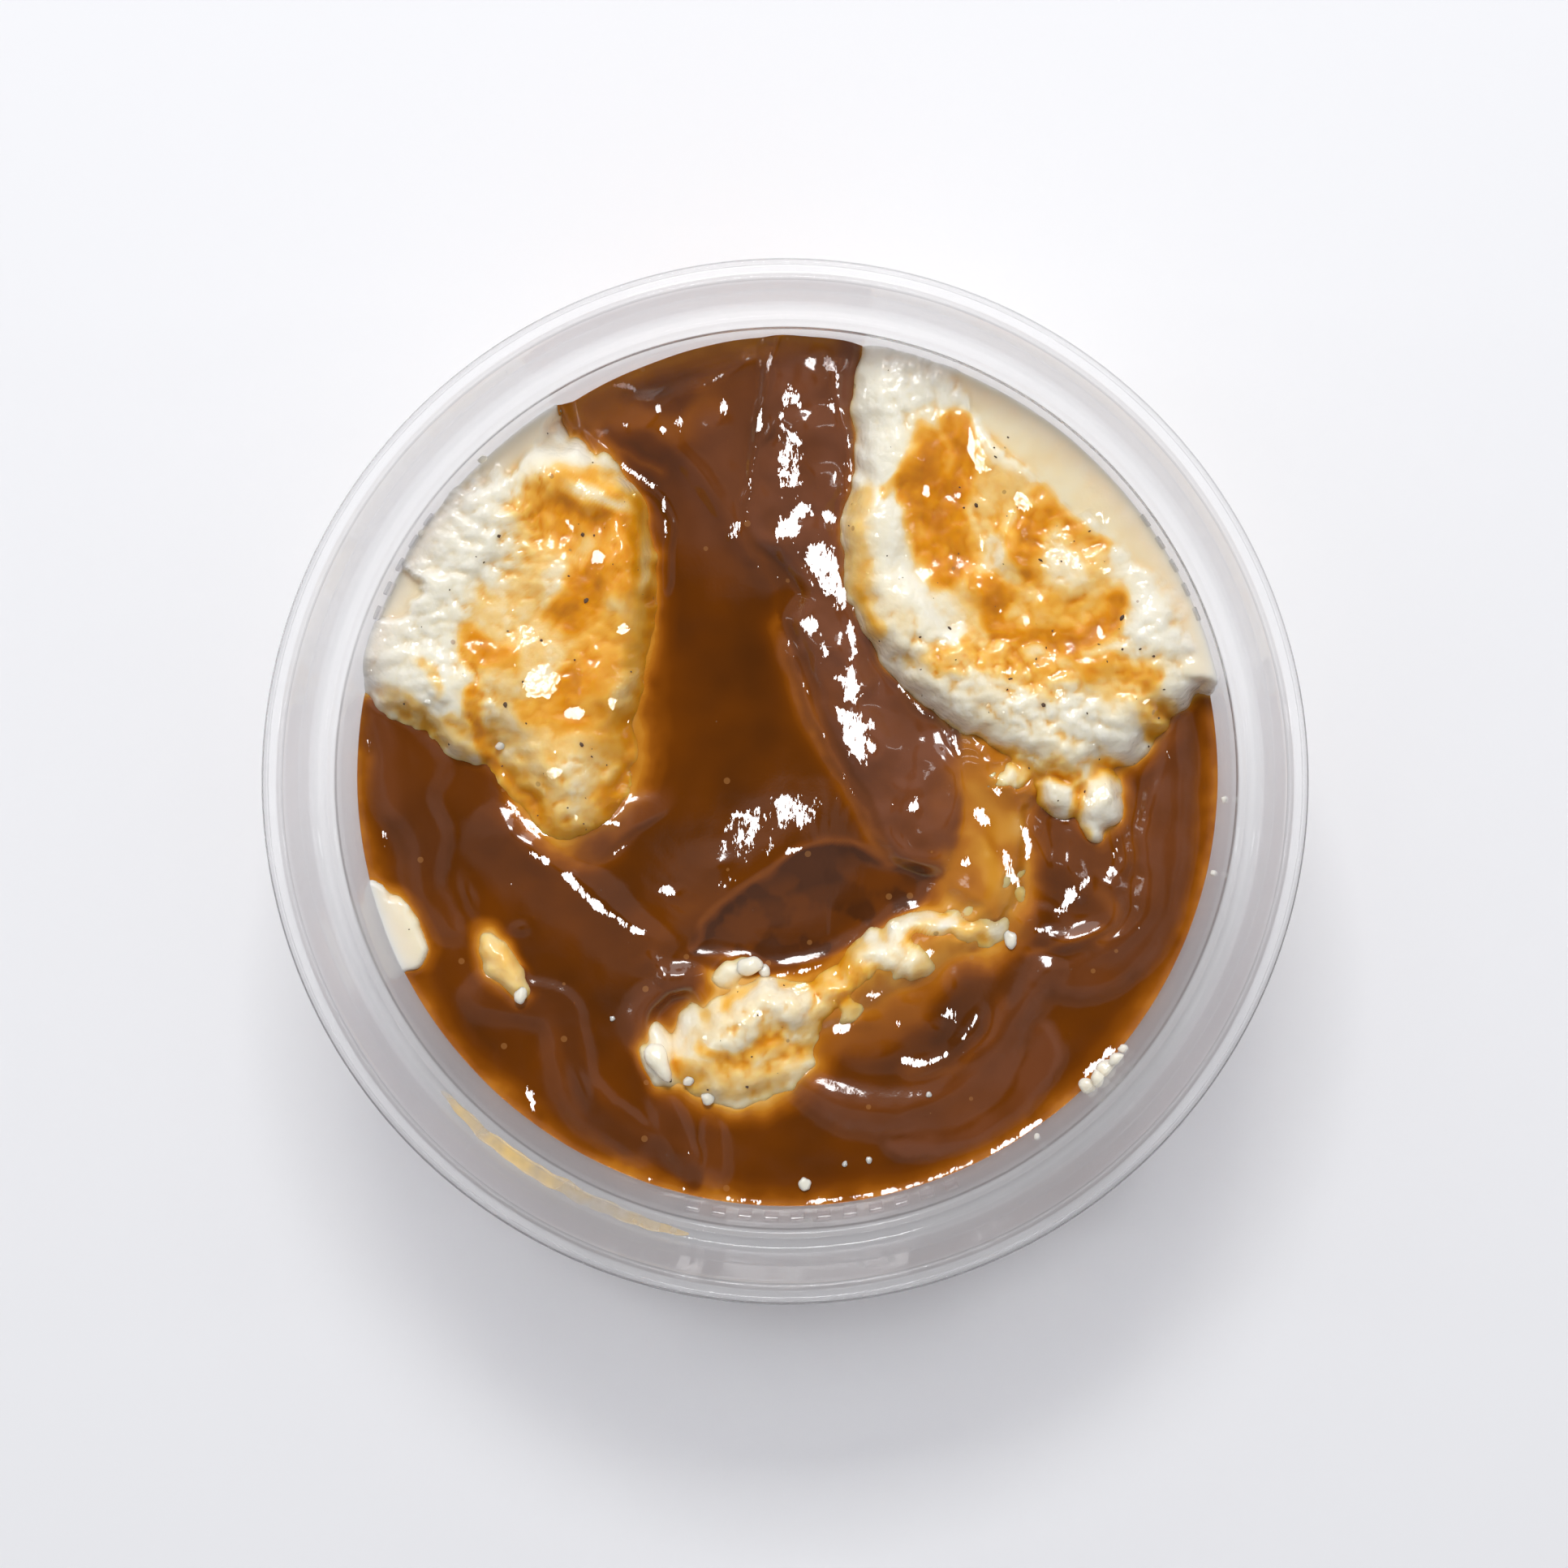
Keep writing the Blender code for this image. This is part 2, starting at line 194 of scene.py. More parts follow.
# Mounds: outline, top, widths of the rise and the fall at the edge, bend of the fall in front and behind
MOUNDS = {
    "left": {"line": [(-54, 13.5), (-48.5, 10), (-44, 7), (-40, 4.4), (-36.4, 3.2), (-34, 3.4), (-33, 1.2),
        (-28.5, -4), (-25, -6.5), (-20.5, -2), (-18, 8), (-16.6, 18), (-17.6, 29), (-20, 35), (-25, 39),
        (-30, 50), (-50, 34)], "top": 29.4, "rise": 6, "fall": 8, "shelf": (1.9, 1)},
    "right": {"line": [(9, 54), (7, 41), (7.2, 33), (8, 22), (13, 12), (19, 6), (24, 3.2), (30, 0.2),
        (34, 0.6), (38, 3.4), (42, 4.6), (44.8, 6.4), (44.6, 9), (46.4, 10.4), (55, 11), (50, 36),
        (30, 54)], "top": 30.2, "rise": 4.5, "fall": 6, "shelf": (1.5, 0.8)},
    "front": {"line": [(-12, -33.5), (-10.6, -29.5), (-8, -26.4), (-4.5, -25), (-0.4, -24.6), (3.4, -24),
        (6.3, -22.5), (9, -20.4), (11.5, -18.6), (14, -17), (17.1, -16.5), (20.5, -17.2), (23, -18),
        (21, -19.8), (17, -22.4), (15, -25), (11, -25.6), (7, -26.6), (4.4, -28.6), (2.4, -31.5), (2, -34),
        (-0.5, -36), (-5, -37.6), (-10, -36.6)], "top": 26.6, "rise": 6, "fall": 7, "shelf": (1.4, 1.4)},
    "neck": {"line": [(20, 8), (19, 0), (19.5, -10), (20, -20), (26, -18), (28, -8), (29.5, 2), (28, 8)],
        "top": 26, "rise": 4, "fall": 6, "shelf": (1.6, 1.6)},
    "wall patch": {"line": [(-54, -12), (-45.8, -14), (-43, -17.5), (-42.6, -21), (-44.5, -23), (-54, -26)],
        "top": 25.2, "rise": 2.5, "fall": 4, "shelf": (1, 1)},
}

# Lumps: x, y, long and short half-width, turn in degrees, top
LUMPS = [
    (-35, 29, 9, 6, 45, 31.2), (-40, 22, 6, 5, 60, 30.6), (-27, 35, 5, 3, 10, 31.4),
    (-22.4, 32.8, 3.6, 1.8, -25, 31.4), (-19.4, 24, 6.5, 2.5, -87, 31.4), (-27, 24, 6.5, 4.5, -60, 31),
    (-40, 12, 8, 5.5, -15, 30.6), (-42.4, 9.4, 5, 2, -30, 29), (-31, 13, 7, 4.5, -20, 30.6),
    (-21.8, 12, 6, 3.5, 80, 30.8), (-24.5, 3, 6.5, 4.5, 60, 29.6), (-38, 5.4, 3.2, 1.7, -30, 28.2),
    (-24.5, -3, 4, 3.2, 20, 28.4), (12, 44, 4.5, 3, 30, 31.4), (13, 37, 4.5, 3.5, 80, 32),
    (11, 29, 6.5, 3.2, 88, 32.4), (13.5, 19.5, 7, 4, -60, 32.6), (20, 12.5, 6.5, 4.2, -40, 32.4),
    (27.5, 8.5, 6.5, 4, -20, 31.6), (24.5, 37, 4.5, 3, -60, 31.6), (25.5, 27, 3, 5, 10, 32),
    (22.5, 22, 3, 2.2, -40, 31.8), (33, 23.5, 4.5, 3.2, 10, 31.4), (33.5, 13, 5, 3, 30, 31.4),
    (41.5, 18, 3.4, 6, 10, 32), (43, 11.5, 3, 2.6, 0, 31.2), (36.5, 6, 4.5, 3.2, -10, 30.4),
    (30, 3, 3.6, 2, -20, 29.4), (33.6, 0.6, 1.6, 1.2, 40, 27.4), (36.6, -2.6, 2.4, 1.9, 80, 29),
    (35.6, -5.6, 1, 1.8, 30, 27), (-6.4, -29.4, 3.6, 2.4, 40, 28.8), (-1.4, -26.8, 4, 1.9, 15, 28.8),
    (-4.6, -34.8, 5, 1.7, 12, 26.8), (-9.4, -33, 2.4, 1.8, 30, 27.4), (9.2, -21.8, 2.4, 1.6, 40, 27.9),
    (13, -21, 3.2, 2, -15, 28.5), (12.6, -18.6, 1.6, 1, 35, 27), (17, -17.2, 2, 0.8, 5, 27),
    (21, -17.6, 1.3, 0.8, -15, 26.8), (6, -24.6, 1.6, 1.1, 20, 26.8), (7.6, -27, 1.6, 1, 60, 26),
    (24.8, -12, 2.6, 1.3, 60, 27.2), (25, 0, 2.4, 1.3, 0, 28.4), (31.2, -1.8, 2, 1.5, -40, 28.4),
    (-34.2, -20.6, 2.6, 1.5, -60, 25.9), (-32.8, -23.2, 2.4, 1.6, -50, 26), (-31.2, -25, 1.2, 1, 0, 25.8),
    (-15, -33, 2.8, 1.4, -72, 26.2), (-6.5, -22.5, 2.2, 1.2, 20, 25.8),
]

# Smooth creamy mash pressed against the wall
PRESSED = {
    "left": {"line": [(-29, 54), (-27, 44), (-27.8, 39.5), (-30, 36.6), (-33, 34.6), (-37, 34), (-40, 36.5),
        (-46, 42)], "top": 28.8},
    "left notch": {"line": [(-56, 24), (-47.5, 24.5), (-44.5, 24.8), (-42.2, 22.5), (-42.8, 19.6),
        (-45.5, 18), (-56, 16)], "top": 28.4},
    "wall patch": {"line": [(-54, -12), (-46.2, -14), (-43.6, -17.5), (-43.2, -21), (-45, -23.2),
        (-54, -26)], "top": 25},
    "right": {"line": [(21, 54), (19.5, 45), (22, 41), (27.5, 35), (30, 33.2), (36, 28.5), (40, 25),
        (45, 20), (46, 14.6), (45.8, 12), (47.4, 10.6), (56, 10.6), (50, 36)], "top": 30.2},
}

# Fine grain of the mash: centre, half-widths, turn, strength
GRAINY = [
    ((-34, 30), 9, 7, 45, 1), ((-41, 21), 6, 5, 60, 1), ((-41, 10), 9, 6.5, -20, 0.9),
    ((-24, -2), 7, 5, 20, 0.7), ((14, 46), 8, 6, 0, 0.8), ((25, 8), 16, 8, -28, 1),
    ((42, 13), 4.5, 7, 0, 0.8), ((36.5, -3), 4, 4, 0, 0.5), ((3, -26), 16, 5.5, 30, 0.85),
    ((28, 26), 10, 9, 0, 0.55), ((-26, 22), 11, 14, 0, 0.45),
]

# Gravy soaked into the mash: outline, softness of its edge, strength
WASHES = [
    ([(-29.5, 35), (-31.5, 31), (-32, 27), (-33.6, 23), (-36.7, 20.8), (-37.6, 17), (-36.7, 13.4),
     (-36, 6.4), (-34, 2), (-31, -3), (-24, -8), (-17, -3), (-14, 8), (-12, 20), (-12, 34), (-22, 36)], 3.4,
     0.27),
    ([(-26, 33), (-14, 34), (-12, 20), (-14, 2), (-22, -7), (-30, -2), (-25, 6), (-24, 16), (-28, 24)], 4,
     0.12),
    ([(15, 41), (24, 38.5), (29, 33), (36, 27.5), (38.5, 22), (37.5, 16), (28, 14.5), (22, 17), (17, 23),
     (14, 30)], 2.6, 0.24),
    ([(21, 17), (29, 16), (38, 15), (44, 12.5), (44, 6), (33, 9.5), (24, 11)], 2.4, 0.28),
    ([(9.5, 33), (12, 22), (18, 14), (14, 11), (9, 18), (7, 28)], 2, 0.17),
    ([(16, 13), (26, 9), (36, 3), (30, -2), (20, 4)], 2, 0.13),
    ([(-14, -33), (-8, -38.5), (0, -37), (6, -33), (0, -31), (-6, -32.6)], 1.4, 0.2),
    ([(3, -29), (5, -24), (8, -20), (12, -17), (18, -15), (24, -17), (24, -30), (12, -37), (2, -34)], 1.6,
     0.36),
    ([(15, 0), (19, 3.5), (29, 0), (31, -6), (28, -16), (20, -14), (16, -6)], 2, 0.5),
    ([(-37, -18), (-32, -18.5), (-29, -23), (-29, -27), (-35, -27)], 1.6, 0.55),
    ([(-12, -34), (-9, -26), (0, -23), (8, -20), (20, -16), (22, -20), (8, -27), (2, -35), (-6, -38)], 1.6,
     0.2),
    ([(17.6, 45), (24, 41), (30, 34), (38, 27), (46, 17), (47, 26), (36, 38), (24, 48)], 1.6, 0.12),
]

# Streaks and small pools of gravy on the mash: route, half-width, softness, strength
STREAKS = [
    ([(-28.4, 30.5), (-26, 33), (-20, 32), (-17, 28.5)], 1.2, 2.2, 0.62),
    ([(-24, 29), (-20, 29), (-18.5, 25)], 2, 2.4, 0.58),
    ([(-22.5, 23.5), (-23.5, 20.5), (-25, 19.2)], 1.5, 1.4, 0.9),
    ([(-16.6, 30), (-16, 23), (-17.4, 17.5), (-21, 13.6), (-23.4, 9.5), (-20.2, 5.5)], 1.3, 2.4, 0.62),
    ([(-36.9, 17.7), (-37.2, 15.3), (-34.5, 13.6), (-31, 13.6)], 0.5, 1.1, 0.74),
    ([(-35.6, 17), (-34.4, 15)], 0.3, 0.7, 0.6),
    ([(-28.5, 8.4), (-26.4, 7.6)], 1.2, 1.8, 0.6),
    ([(-25, 11.4), (-23.4, 10.4)], 0.7, 1.2, 0.55),
    ([(-36.4, 9.9), (-36.2, 6.4), (-35.2, 3.7), (-33.6, 0.6)], 0.25, 0.7, 1),
    ([(-41.8, 13.2), (-40.8, 12)], 0.3, 1, 0.3),
    ([(-40.2, 11), (-40.4, 10)], 0.2, 0.8, 0.3),
    ([(-43.4, 8.6), (-42.6, 8.4)], 0.2, 0.7, 0.35),
    ([(-38.4, 6.4), (-37.6, 5.8)], 0.3, 0.9, 0.35),
    ([(-46, 9.4), (-42.4, 6.8), (-38.8, 4.8), (-35.8, 4)], 0.5, 1.6, 0.4),
    ([(-31.5, -2), (-28, -6), (-24, -7.6), (-20, -5)], 1, 2.6, 0.75),
    ([(-16, 6), (-17.4, 0), (-19.6, -4)], 1, 2.6, 0.7),
    ([(-14.4, 20), (-15.4, 12), (-16.4, 6)], 0.6, 2.2, 0.6),
    ([(19.4, 41), (20.6, 38), (20.6, 34)], 0.9, 1, 0.85),
    ([(16.2, 38), (15.2, 33.5)], 1.5, 1.2, 0.98),
    ([(17.6, 37.5), (17.6, 31)], 1.7, 1.4, 0.62),
    ([(18.6, 33), (19, 27), (18.4, 24.4)], 1.1, 1.5, 0.92),
    ([(15.2, 29.6), (16.2, 26)], 0.9, 1.2, 0.72),
    ([(22, 34), (25, 31), (24, 28)], 1.5, 3, 0.2),
    ([(29.1, 30.2), (28, 27.8), (27.1, 24.3)], 0.9, 1.3, 0.8),
    ([(25.6, 28), (26.2, 25)], 0.6, 1.4, 0.55),
    ([(28.8, 33.1), (31.3, 30.2), (34.2, 28.2), (37, 26.5)], 0.3, 0.9, 0.6),
    ([(33, 28.4), (36, 25.4)], 0.5, 1.4, 0.25),
    ([(23.4, 22), (24, 18.6), (26.9, 16.6), (31.8, 16), (35.2, 16.5), (37.4, 18), (37.7, 21)], 0.6, 1.1,
     0.9),
    ([(30, 19.4), (33.5, 19.4), (36.4, 20)], 1, 2.2, 0.4),
    ([(25.4, 22.6), (24.6, 20.4)], 0.8, 1.2, 0.7),
    ([(21.4, 24.4), (22.4, 21.4)], 0.5, 1.2, 0.6),
    ([(17.6, 13.8), (19.8, 13.6)], 0.8, 1.3, 0.5),
    ([(25, 13.6), (28.8, 12.9), (31, 11.4)], 0.8, 1.6, 0.42),
    ([(36, 13.2), (39, 12.4), (42, 11.2)], 0.5, 1, 0.6),
    ([(33.4, 14.6), (35, 12)], 0.3, 0.8, 0.6),
    ([(42, 7), (44, 8), (43, 5.6)], 0.8, 1.4, 0.6),
    ([(10.8, 32.6), (13.2, 34.6)], 0.2, 0.6, 0.5),
    ([(8.8, 22.4), (9.4, 19.4), (11, 17)], 0.2, 0.7, 0.45),
    ([(20.5, 16), (22.5, 13.6)], 0.2, 0.7, 0.5),
    ([(8.2, 32), (8, 25), (10, 17)], 0.5, 1.4, 0.36),
    ([(4.5, -22.6), (8.5, -20.6), (7.6, -24.5)], 1, 1.5, 0.62),
    ([(14, -17.8), (10.8, -21.2)], 0.6, 1, 0.5),
    ([(-10, -31.6), (-5.5, -32.6), (-1, -30.4)], 0.25, 0.8, 0.6),
    ([(-12.5, -34.2), (-10.4, -36.6)], 0.6, 1.2, 0.5),
    ([(31, 1), (35, -1.6), (38, 0.4)], 0.6, 1.5, 0.6),
    ([(33.6, -3), (34.6, -7)], 0.4, 1, 0.6),
]

# Where a gravy film lies over mash: outline, softness of its edge, thickness
COATS = {
    "front mound": ([(4, -29), (6, -26), (8, -22.5), (11, -19), (14.5, -17.4), (18, -17), (23, -18),
        (21, -23), (13, -28), (7, -30)], 2, 0.4),
    "neck": ([(17, 3), (21, 4.5), (26, 1), (29, -4), (28, -12), (25, -18), (20, -15.5), (16, -10)], 2.6, 1),
    "left shoulder": ([(-31, 46), (-26.4, 42.4), (-24.4, 39.4), (-21.4, 36.6), (-18, 34.8), (-15.5, 33),
        (-12, 32), (-12, 44), (-20, 52)], 1.2, 1.7),
    "small lump": ([(-36.4, -18.4), (-32.4, -19), (-29.6, -24), (-31, -26.4), (-34.6, -24.8)], 1.6, 0.1),
}

# Broad rises of the gravy's surface: centre, half-widths, turn, rise
RISES = [
    ((-2, 54), 26, 36, 0, 5.6), ((22, -5), 9.5, 14, 0, 1.6), ((-19.5, 40), 10, 9, 30, 2.5),
    ((17, -26), 14, 11, 20, 1.3), ((33.5, -10), 7.5, 6.5, -60, 0.8), ((-25, -6), 9, 6, 20, 0.9),
]

# Sheets of thicker gravy: outline, edge softness, rise, milkiness (the set skin's haze, partly a painted
# sheen)
SHEETS = {
    "tongue": {"line": [(-1, 51), (-2.4, 44), (-3.4, 38), (-4.6, 32), (-4, 28.2), (-1, 25.8), (2.3, 22.2),
        (2.2, 20.3), (0.8, 18.4), (1.3, 16.5), (3.4, 10.5), (5.9, 5), (9.2, -1.5), (11.2, -5.5),
        (13.4, -9.8), (18, -10.5), (20, -5), (20.6, 2), (18.5, 8), (10, 22), (8, 40), (8, 51)], "soft": 2.4,
        "rise": 1.2, "milk": 1},
    "back sheet": {"line": [(-17, 40.5), (-13.5, 44), (-9.5, 45.5), (-3, 48.5), (-2, 44), (-3.5, 38),
        (-5, 31), (-4, 25), (-6, 29), (-9.5, 33), (-11.5, 36), (-13.5, 38)], "soft": 2.2, "rise": 0.5,
        "milk": 0.3},
    "lobe": {"line": [(15.4, 0), (18, 3), (20, 0.5), (19.2, -4), (17.6, -7.8), (14.6, -7), (13.6, -4)],
        "soft": 2, "rise": 0.3, "milk": 1},
    "left band": {"line": [(-49, 9), (-48.6, 2), (-47.6, -3), (-45, -7), (-44, -11), (-43, -15),
        (-40, -18.5), (-38, -18), (-40.2, -12), (-39.4, -7), (-41, -2.5), (-40, 2), (-43.5, 6)], "soft": 3,
        "rise": 0.5, "milk": 0.22},
    "right band": {"line": [(45.6, 7), (47, 1), (46.6, -8), (45.6, -15), (43.2, -20.5), (38.5, -24.5),
        (33, -25.5), (29.5, -23.6), (30, -21.4), (36, -20), (40.2, -17), (41.4, -12), (41.2, -6), (42.4, 0),
        (43.6, 5)], "soft": 3, "rise": 0.6, "milk": 0.5},
    "front band": {"line": [(29.5, -20.5), (27, -25), (24.6, -29), (22.5, -32.6), (19, -35.6), (14, -37.6),
        (9, -37.6), (5, -36.2), (1, -34), (0.5, -36), (4, -39.6), (9, -41.4), (14.6, -42.2), (20, -41),
        (24.4, -38), (27, -34.4), (28.6, -29.6), (30.5, -25), (32, -22)], "soft": 3, "rise": 0.4,
        "milk": 0.55},
    "outer crescent": {"line": [(12, -42.4), (21, -41), (26.5, -36.5), (28.8, -30), (30.8, -29),
        (31.8, -33), (28, -39), (21, -43), (13.5, -44.2)], "soft": 2.2, "rise": 0.3, "milk": 0.7},
}

# Folds: route, half-width, softness to the left and right of travel, rise, milkiness (skin haze, partly a
# painted sheen), length of the ends
FOLDS = {
    "diagonal crest": ([(-16.5, 39), (-13.5, 38), (-11.5, 36), (-8, 31.5), (-5.5, 27.5), (-3, 23.5),
        (-1.5, 21)], 0, 1.6, 1.4, 0.6, 0.3, 6),
    "back arc": ([(-18, 43.2), (-14, 43.8), (-10.5, 45.2), (-6.5, 47), (-3, 48.8)], 0, 0.9, 1.6, 0.6, 0, 5),
    "thin crease": ([(-1, 50), (-2, 46), (-3, 41.5), (-4, 36), (-5, 31.5), (-4.5, 28)], 0, 0.5, 0.7, 0.55,
        0, 5),
    "short crease": ([(-1.3, 42.5), (-1.8, 40), (-3, 38.5)], 0, 0.4, 0.4, 0.45, 0, 2),
    "sharp edge": ([(-0.4, 17.4), (2, 10.5), (4.5, 5), (8, -1.5), (10, -5), (12.6, -10)], 0, 1.2, 0.8, 0.6,
        0.3, 4),
    "tongue meniscus": ([(5.5, 48.5), (6, 44), (7, 40.5), (7.5, 36.5), (7, 33), (6.5, 31.5), (7, 24),
        (8, 19), (12.5, 11.5), (15.5, 8), (18, 6.5), (19.5, 4), (20.5, 1.5)], 0, 0.5, 0.5, 0.5, 0, 3),
    "left mound meniscus": ([(-19.5, 35.2), (-15.5, 33.4), (-14, 31), (-13.6, 26), (-14, 21)], 0, 0.4, 0.4,
        0.4, 0, 2),
    "tongue hump": ([(3.5, 46), (3.5, 36), (4.5, 29), (6.5, 21), (7, 14), (9.4, 6), (13.5, -1.5)], 0, 3,
        2.6, 1.2, 0, 8),
    "pocket swell": ([(-11, -20), (-8.5, -15.5), (-2.5, -10.3), (4, -7.6), (10, -8.6)], 0, 6.5, 6, 1.3, 0,
        9),
    "slope crest": ([(-35, -2.5), (-33, -5.5), (-29.5, -9), (-26.5, -11), (-23, -13), (-20, -15.5),
        (-17, -18), (-13, -20.8)], 0, 1.6, 3.6, 1.1, 0, 5),
    "star a": ([(-17, -20), (-14.5, -22.5), (-9, -23.5)], 0, 0.8, 1.4, 0.5, 0.3, 2),
    "star b": ([(-14, -22), (-15, -24.5)], 0, 0.8, 0.8, 0.4, 0.3, 1.5),
    "s band": ([(-38, -23), (-34.5, -25.5), (-30.5, -26), (-27, -27.2), (-25.6, -30), (-25, -33.5),
        (-24, -37), (-21.5, -40), (-18, -42), (-14, -45)], 1.6, 1, 1.3, 0.35, 0.25, 4),
    "leaf": ([(-24.5, -10.5), (-21.5, -7.5), (-17, -4), (-12.5, -2)], 1.2, 1.2, 0.6, 0.45, 0.6, 6),
    "rim of small hollow": ([(-16.8, -32), (-17.4, -28.5), (-15.8, -25.6), (-12.5, -24), (-9.5, -24)], 0.5,
        1.2, 0.8, 0.55, 0.5, 3),
    "left blade": ([(-15.5, -35.5), (-13.8, -40), (-11.8, -44), (-10.2, -48)], 1, 1, 1.1, 0.4, 0.4, 5),
    "right blade": ([(-9.2, -38.5), (-8.2, -43.5), (-8.8, -46.5), (-10.2, -49)], 0.8, 0.8, 0.8, 0.35, 0.3,
        4),
    "front fold": ([(0.5, -35.6), (6.5, -37.6), (11.5, -38.6), (16.5, -37.6), (22.2, -34), (25.6, -29.5),
        (27.8, -24.5), (30.5, -20.5)], 0.3, 2.2, 1.8, 0.5, 0.3, 6),
    "inner arc": ([(13, -34.5), (17.5, -33), (21.5, -30), (23.5, -26)], 0, 1.2, 0.9, 0.5, 0.1, 3),
    "v fold a": ([(19, -11.4), (25, -15.2), (29.5, -18.8)], 0, 1.6, 1.5, 0.9, 0, 3),
    "v fold b": ([(28, -18.4), (33, -19), (36.5, -17.8), (38.4, -14.6), (38, -10)], 0, 1.4, 1.2, 1, 0.1, 3),
    "inner right fold": ([(31, -8), (33.5, -12), (34.5, -16)], 0, 1.4, 1.4, 0.8, 0, 3),
    "inner right fold b": ([(38.2, -4), (39.4, -8.5), (39, -12.5)], 0, 0.9, 0.9, 0.7, 0, 3),
    "inner right fold c": ([(28.2, -3), (29, -7.5), (31, -13)], 0, 1, 1.2, 0.6, 0, 3),
    "right band crest": ([(42.4, 2), (41.8, -6), (41.6, -12), (39.6, -17.6), (34, -20.8)], 0, 1.6, 0.8, 0.5,
        0, 4),
}

# Small swells that catch the light: centre, half-widths, turn, rise
SWELLS = [
    ((1, 27.4), 3.2, 2.2, 30, 1.1), ((4.8, 23.8), 2, 2.6, 10, 1.1), ((3.6, 19.2), 2.4, 1.8, 20, 0.9),
    ((5.4, 14.6), 2.8, 2, -20, 1), ((8.2, 10.6), 1.6, 1.8, 0, 0.8), ((8.6, 6.6), 1.9, 1.8, 0, 0.9),
    ((9.6, 2.6), 2.2, 2, 0, 0.9), ((0.6, 35.4), 2.2, 3, 0, 1.2), ((1.6, 40.8), 2, 2.4, 0, 1),
    ((3.4, 45.4), 1.6, 2.2, 10, 0.9), ((5.8, 33), 1, 1.6, 0, 0.6), ((14, -0.6), 2.2, 1.4, 20, 0.5),
    ((12, -4.4), 1.4, 1.2, 0, 0.4), ((-8.6, 40.4), 1.8, 1.8, 0, 0.8), ((-14.4, 39), 0.9, 1.4, 0, 0.5),
    ((-5.6, 27.6), 1.5, 1.6, -40, 0.5), ((-11, 44.5), 2, 1, 20, 0.4), ((-6.4, 35), 1.4, 2, 20, 0.5),
    ((17.6, -29.6), 2, 1.5, -10, 0.8), ((9, -28.6), 1.8, 1.2, 10, 0.7), ((20.5, -33), 3, 1.2, 30, 0.6),
    ((13.5, -26), 2.2, 1.6, 0, 0.7), ((20, -24), 1.8, 2.2, 0, 0.7), ((11, -32.5), 2.6, 1.2, 10, 0.5),
    ((33, -7.4), 1.8, 3.4, 15, 0.9), ((29, -1.5), 1.2, 2, 15, 0.7), ((-13, -13.6), 1.2, 0.8, 0, 0.35),
    ((-31.2, -17.6), 1, 0.8, 0, 0.4), ((-8, -10.2), 1.3, 1, 20, 0.4), ((-20, -5), 1.4, 1, 40, 0.4),
    ((36.4, -13.6), 1.2, 2.6, -10, 0.7), ((39.6, -3), 1, 2.4, 0, 0.6), ((30.6, -16), 2.2, 1.2, -20, 0.6),
    ((21.6, -1), 1.8, 2, 0, 0.9), ((24.4, -5), 1.6, 1.8, 0, 0.8), ((21.2, -9), 1.6, 1.6, 0, 0.7),
    ((25, -12), 1.6, 2, 0, 0.7), ((-37.4, -14), 1.2, 2.2, 20, 0.5), ((-24, -36), 1, 2.4, 20, 0.5),
]

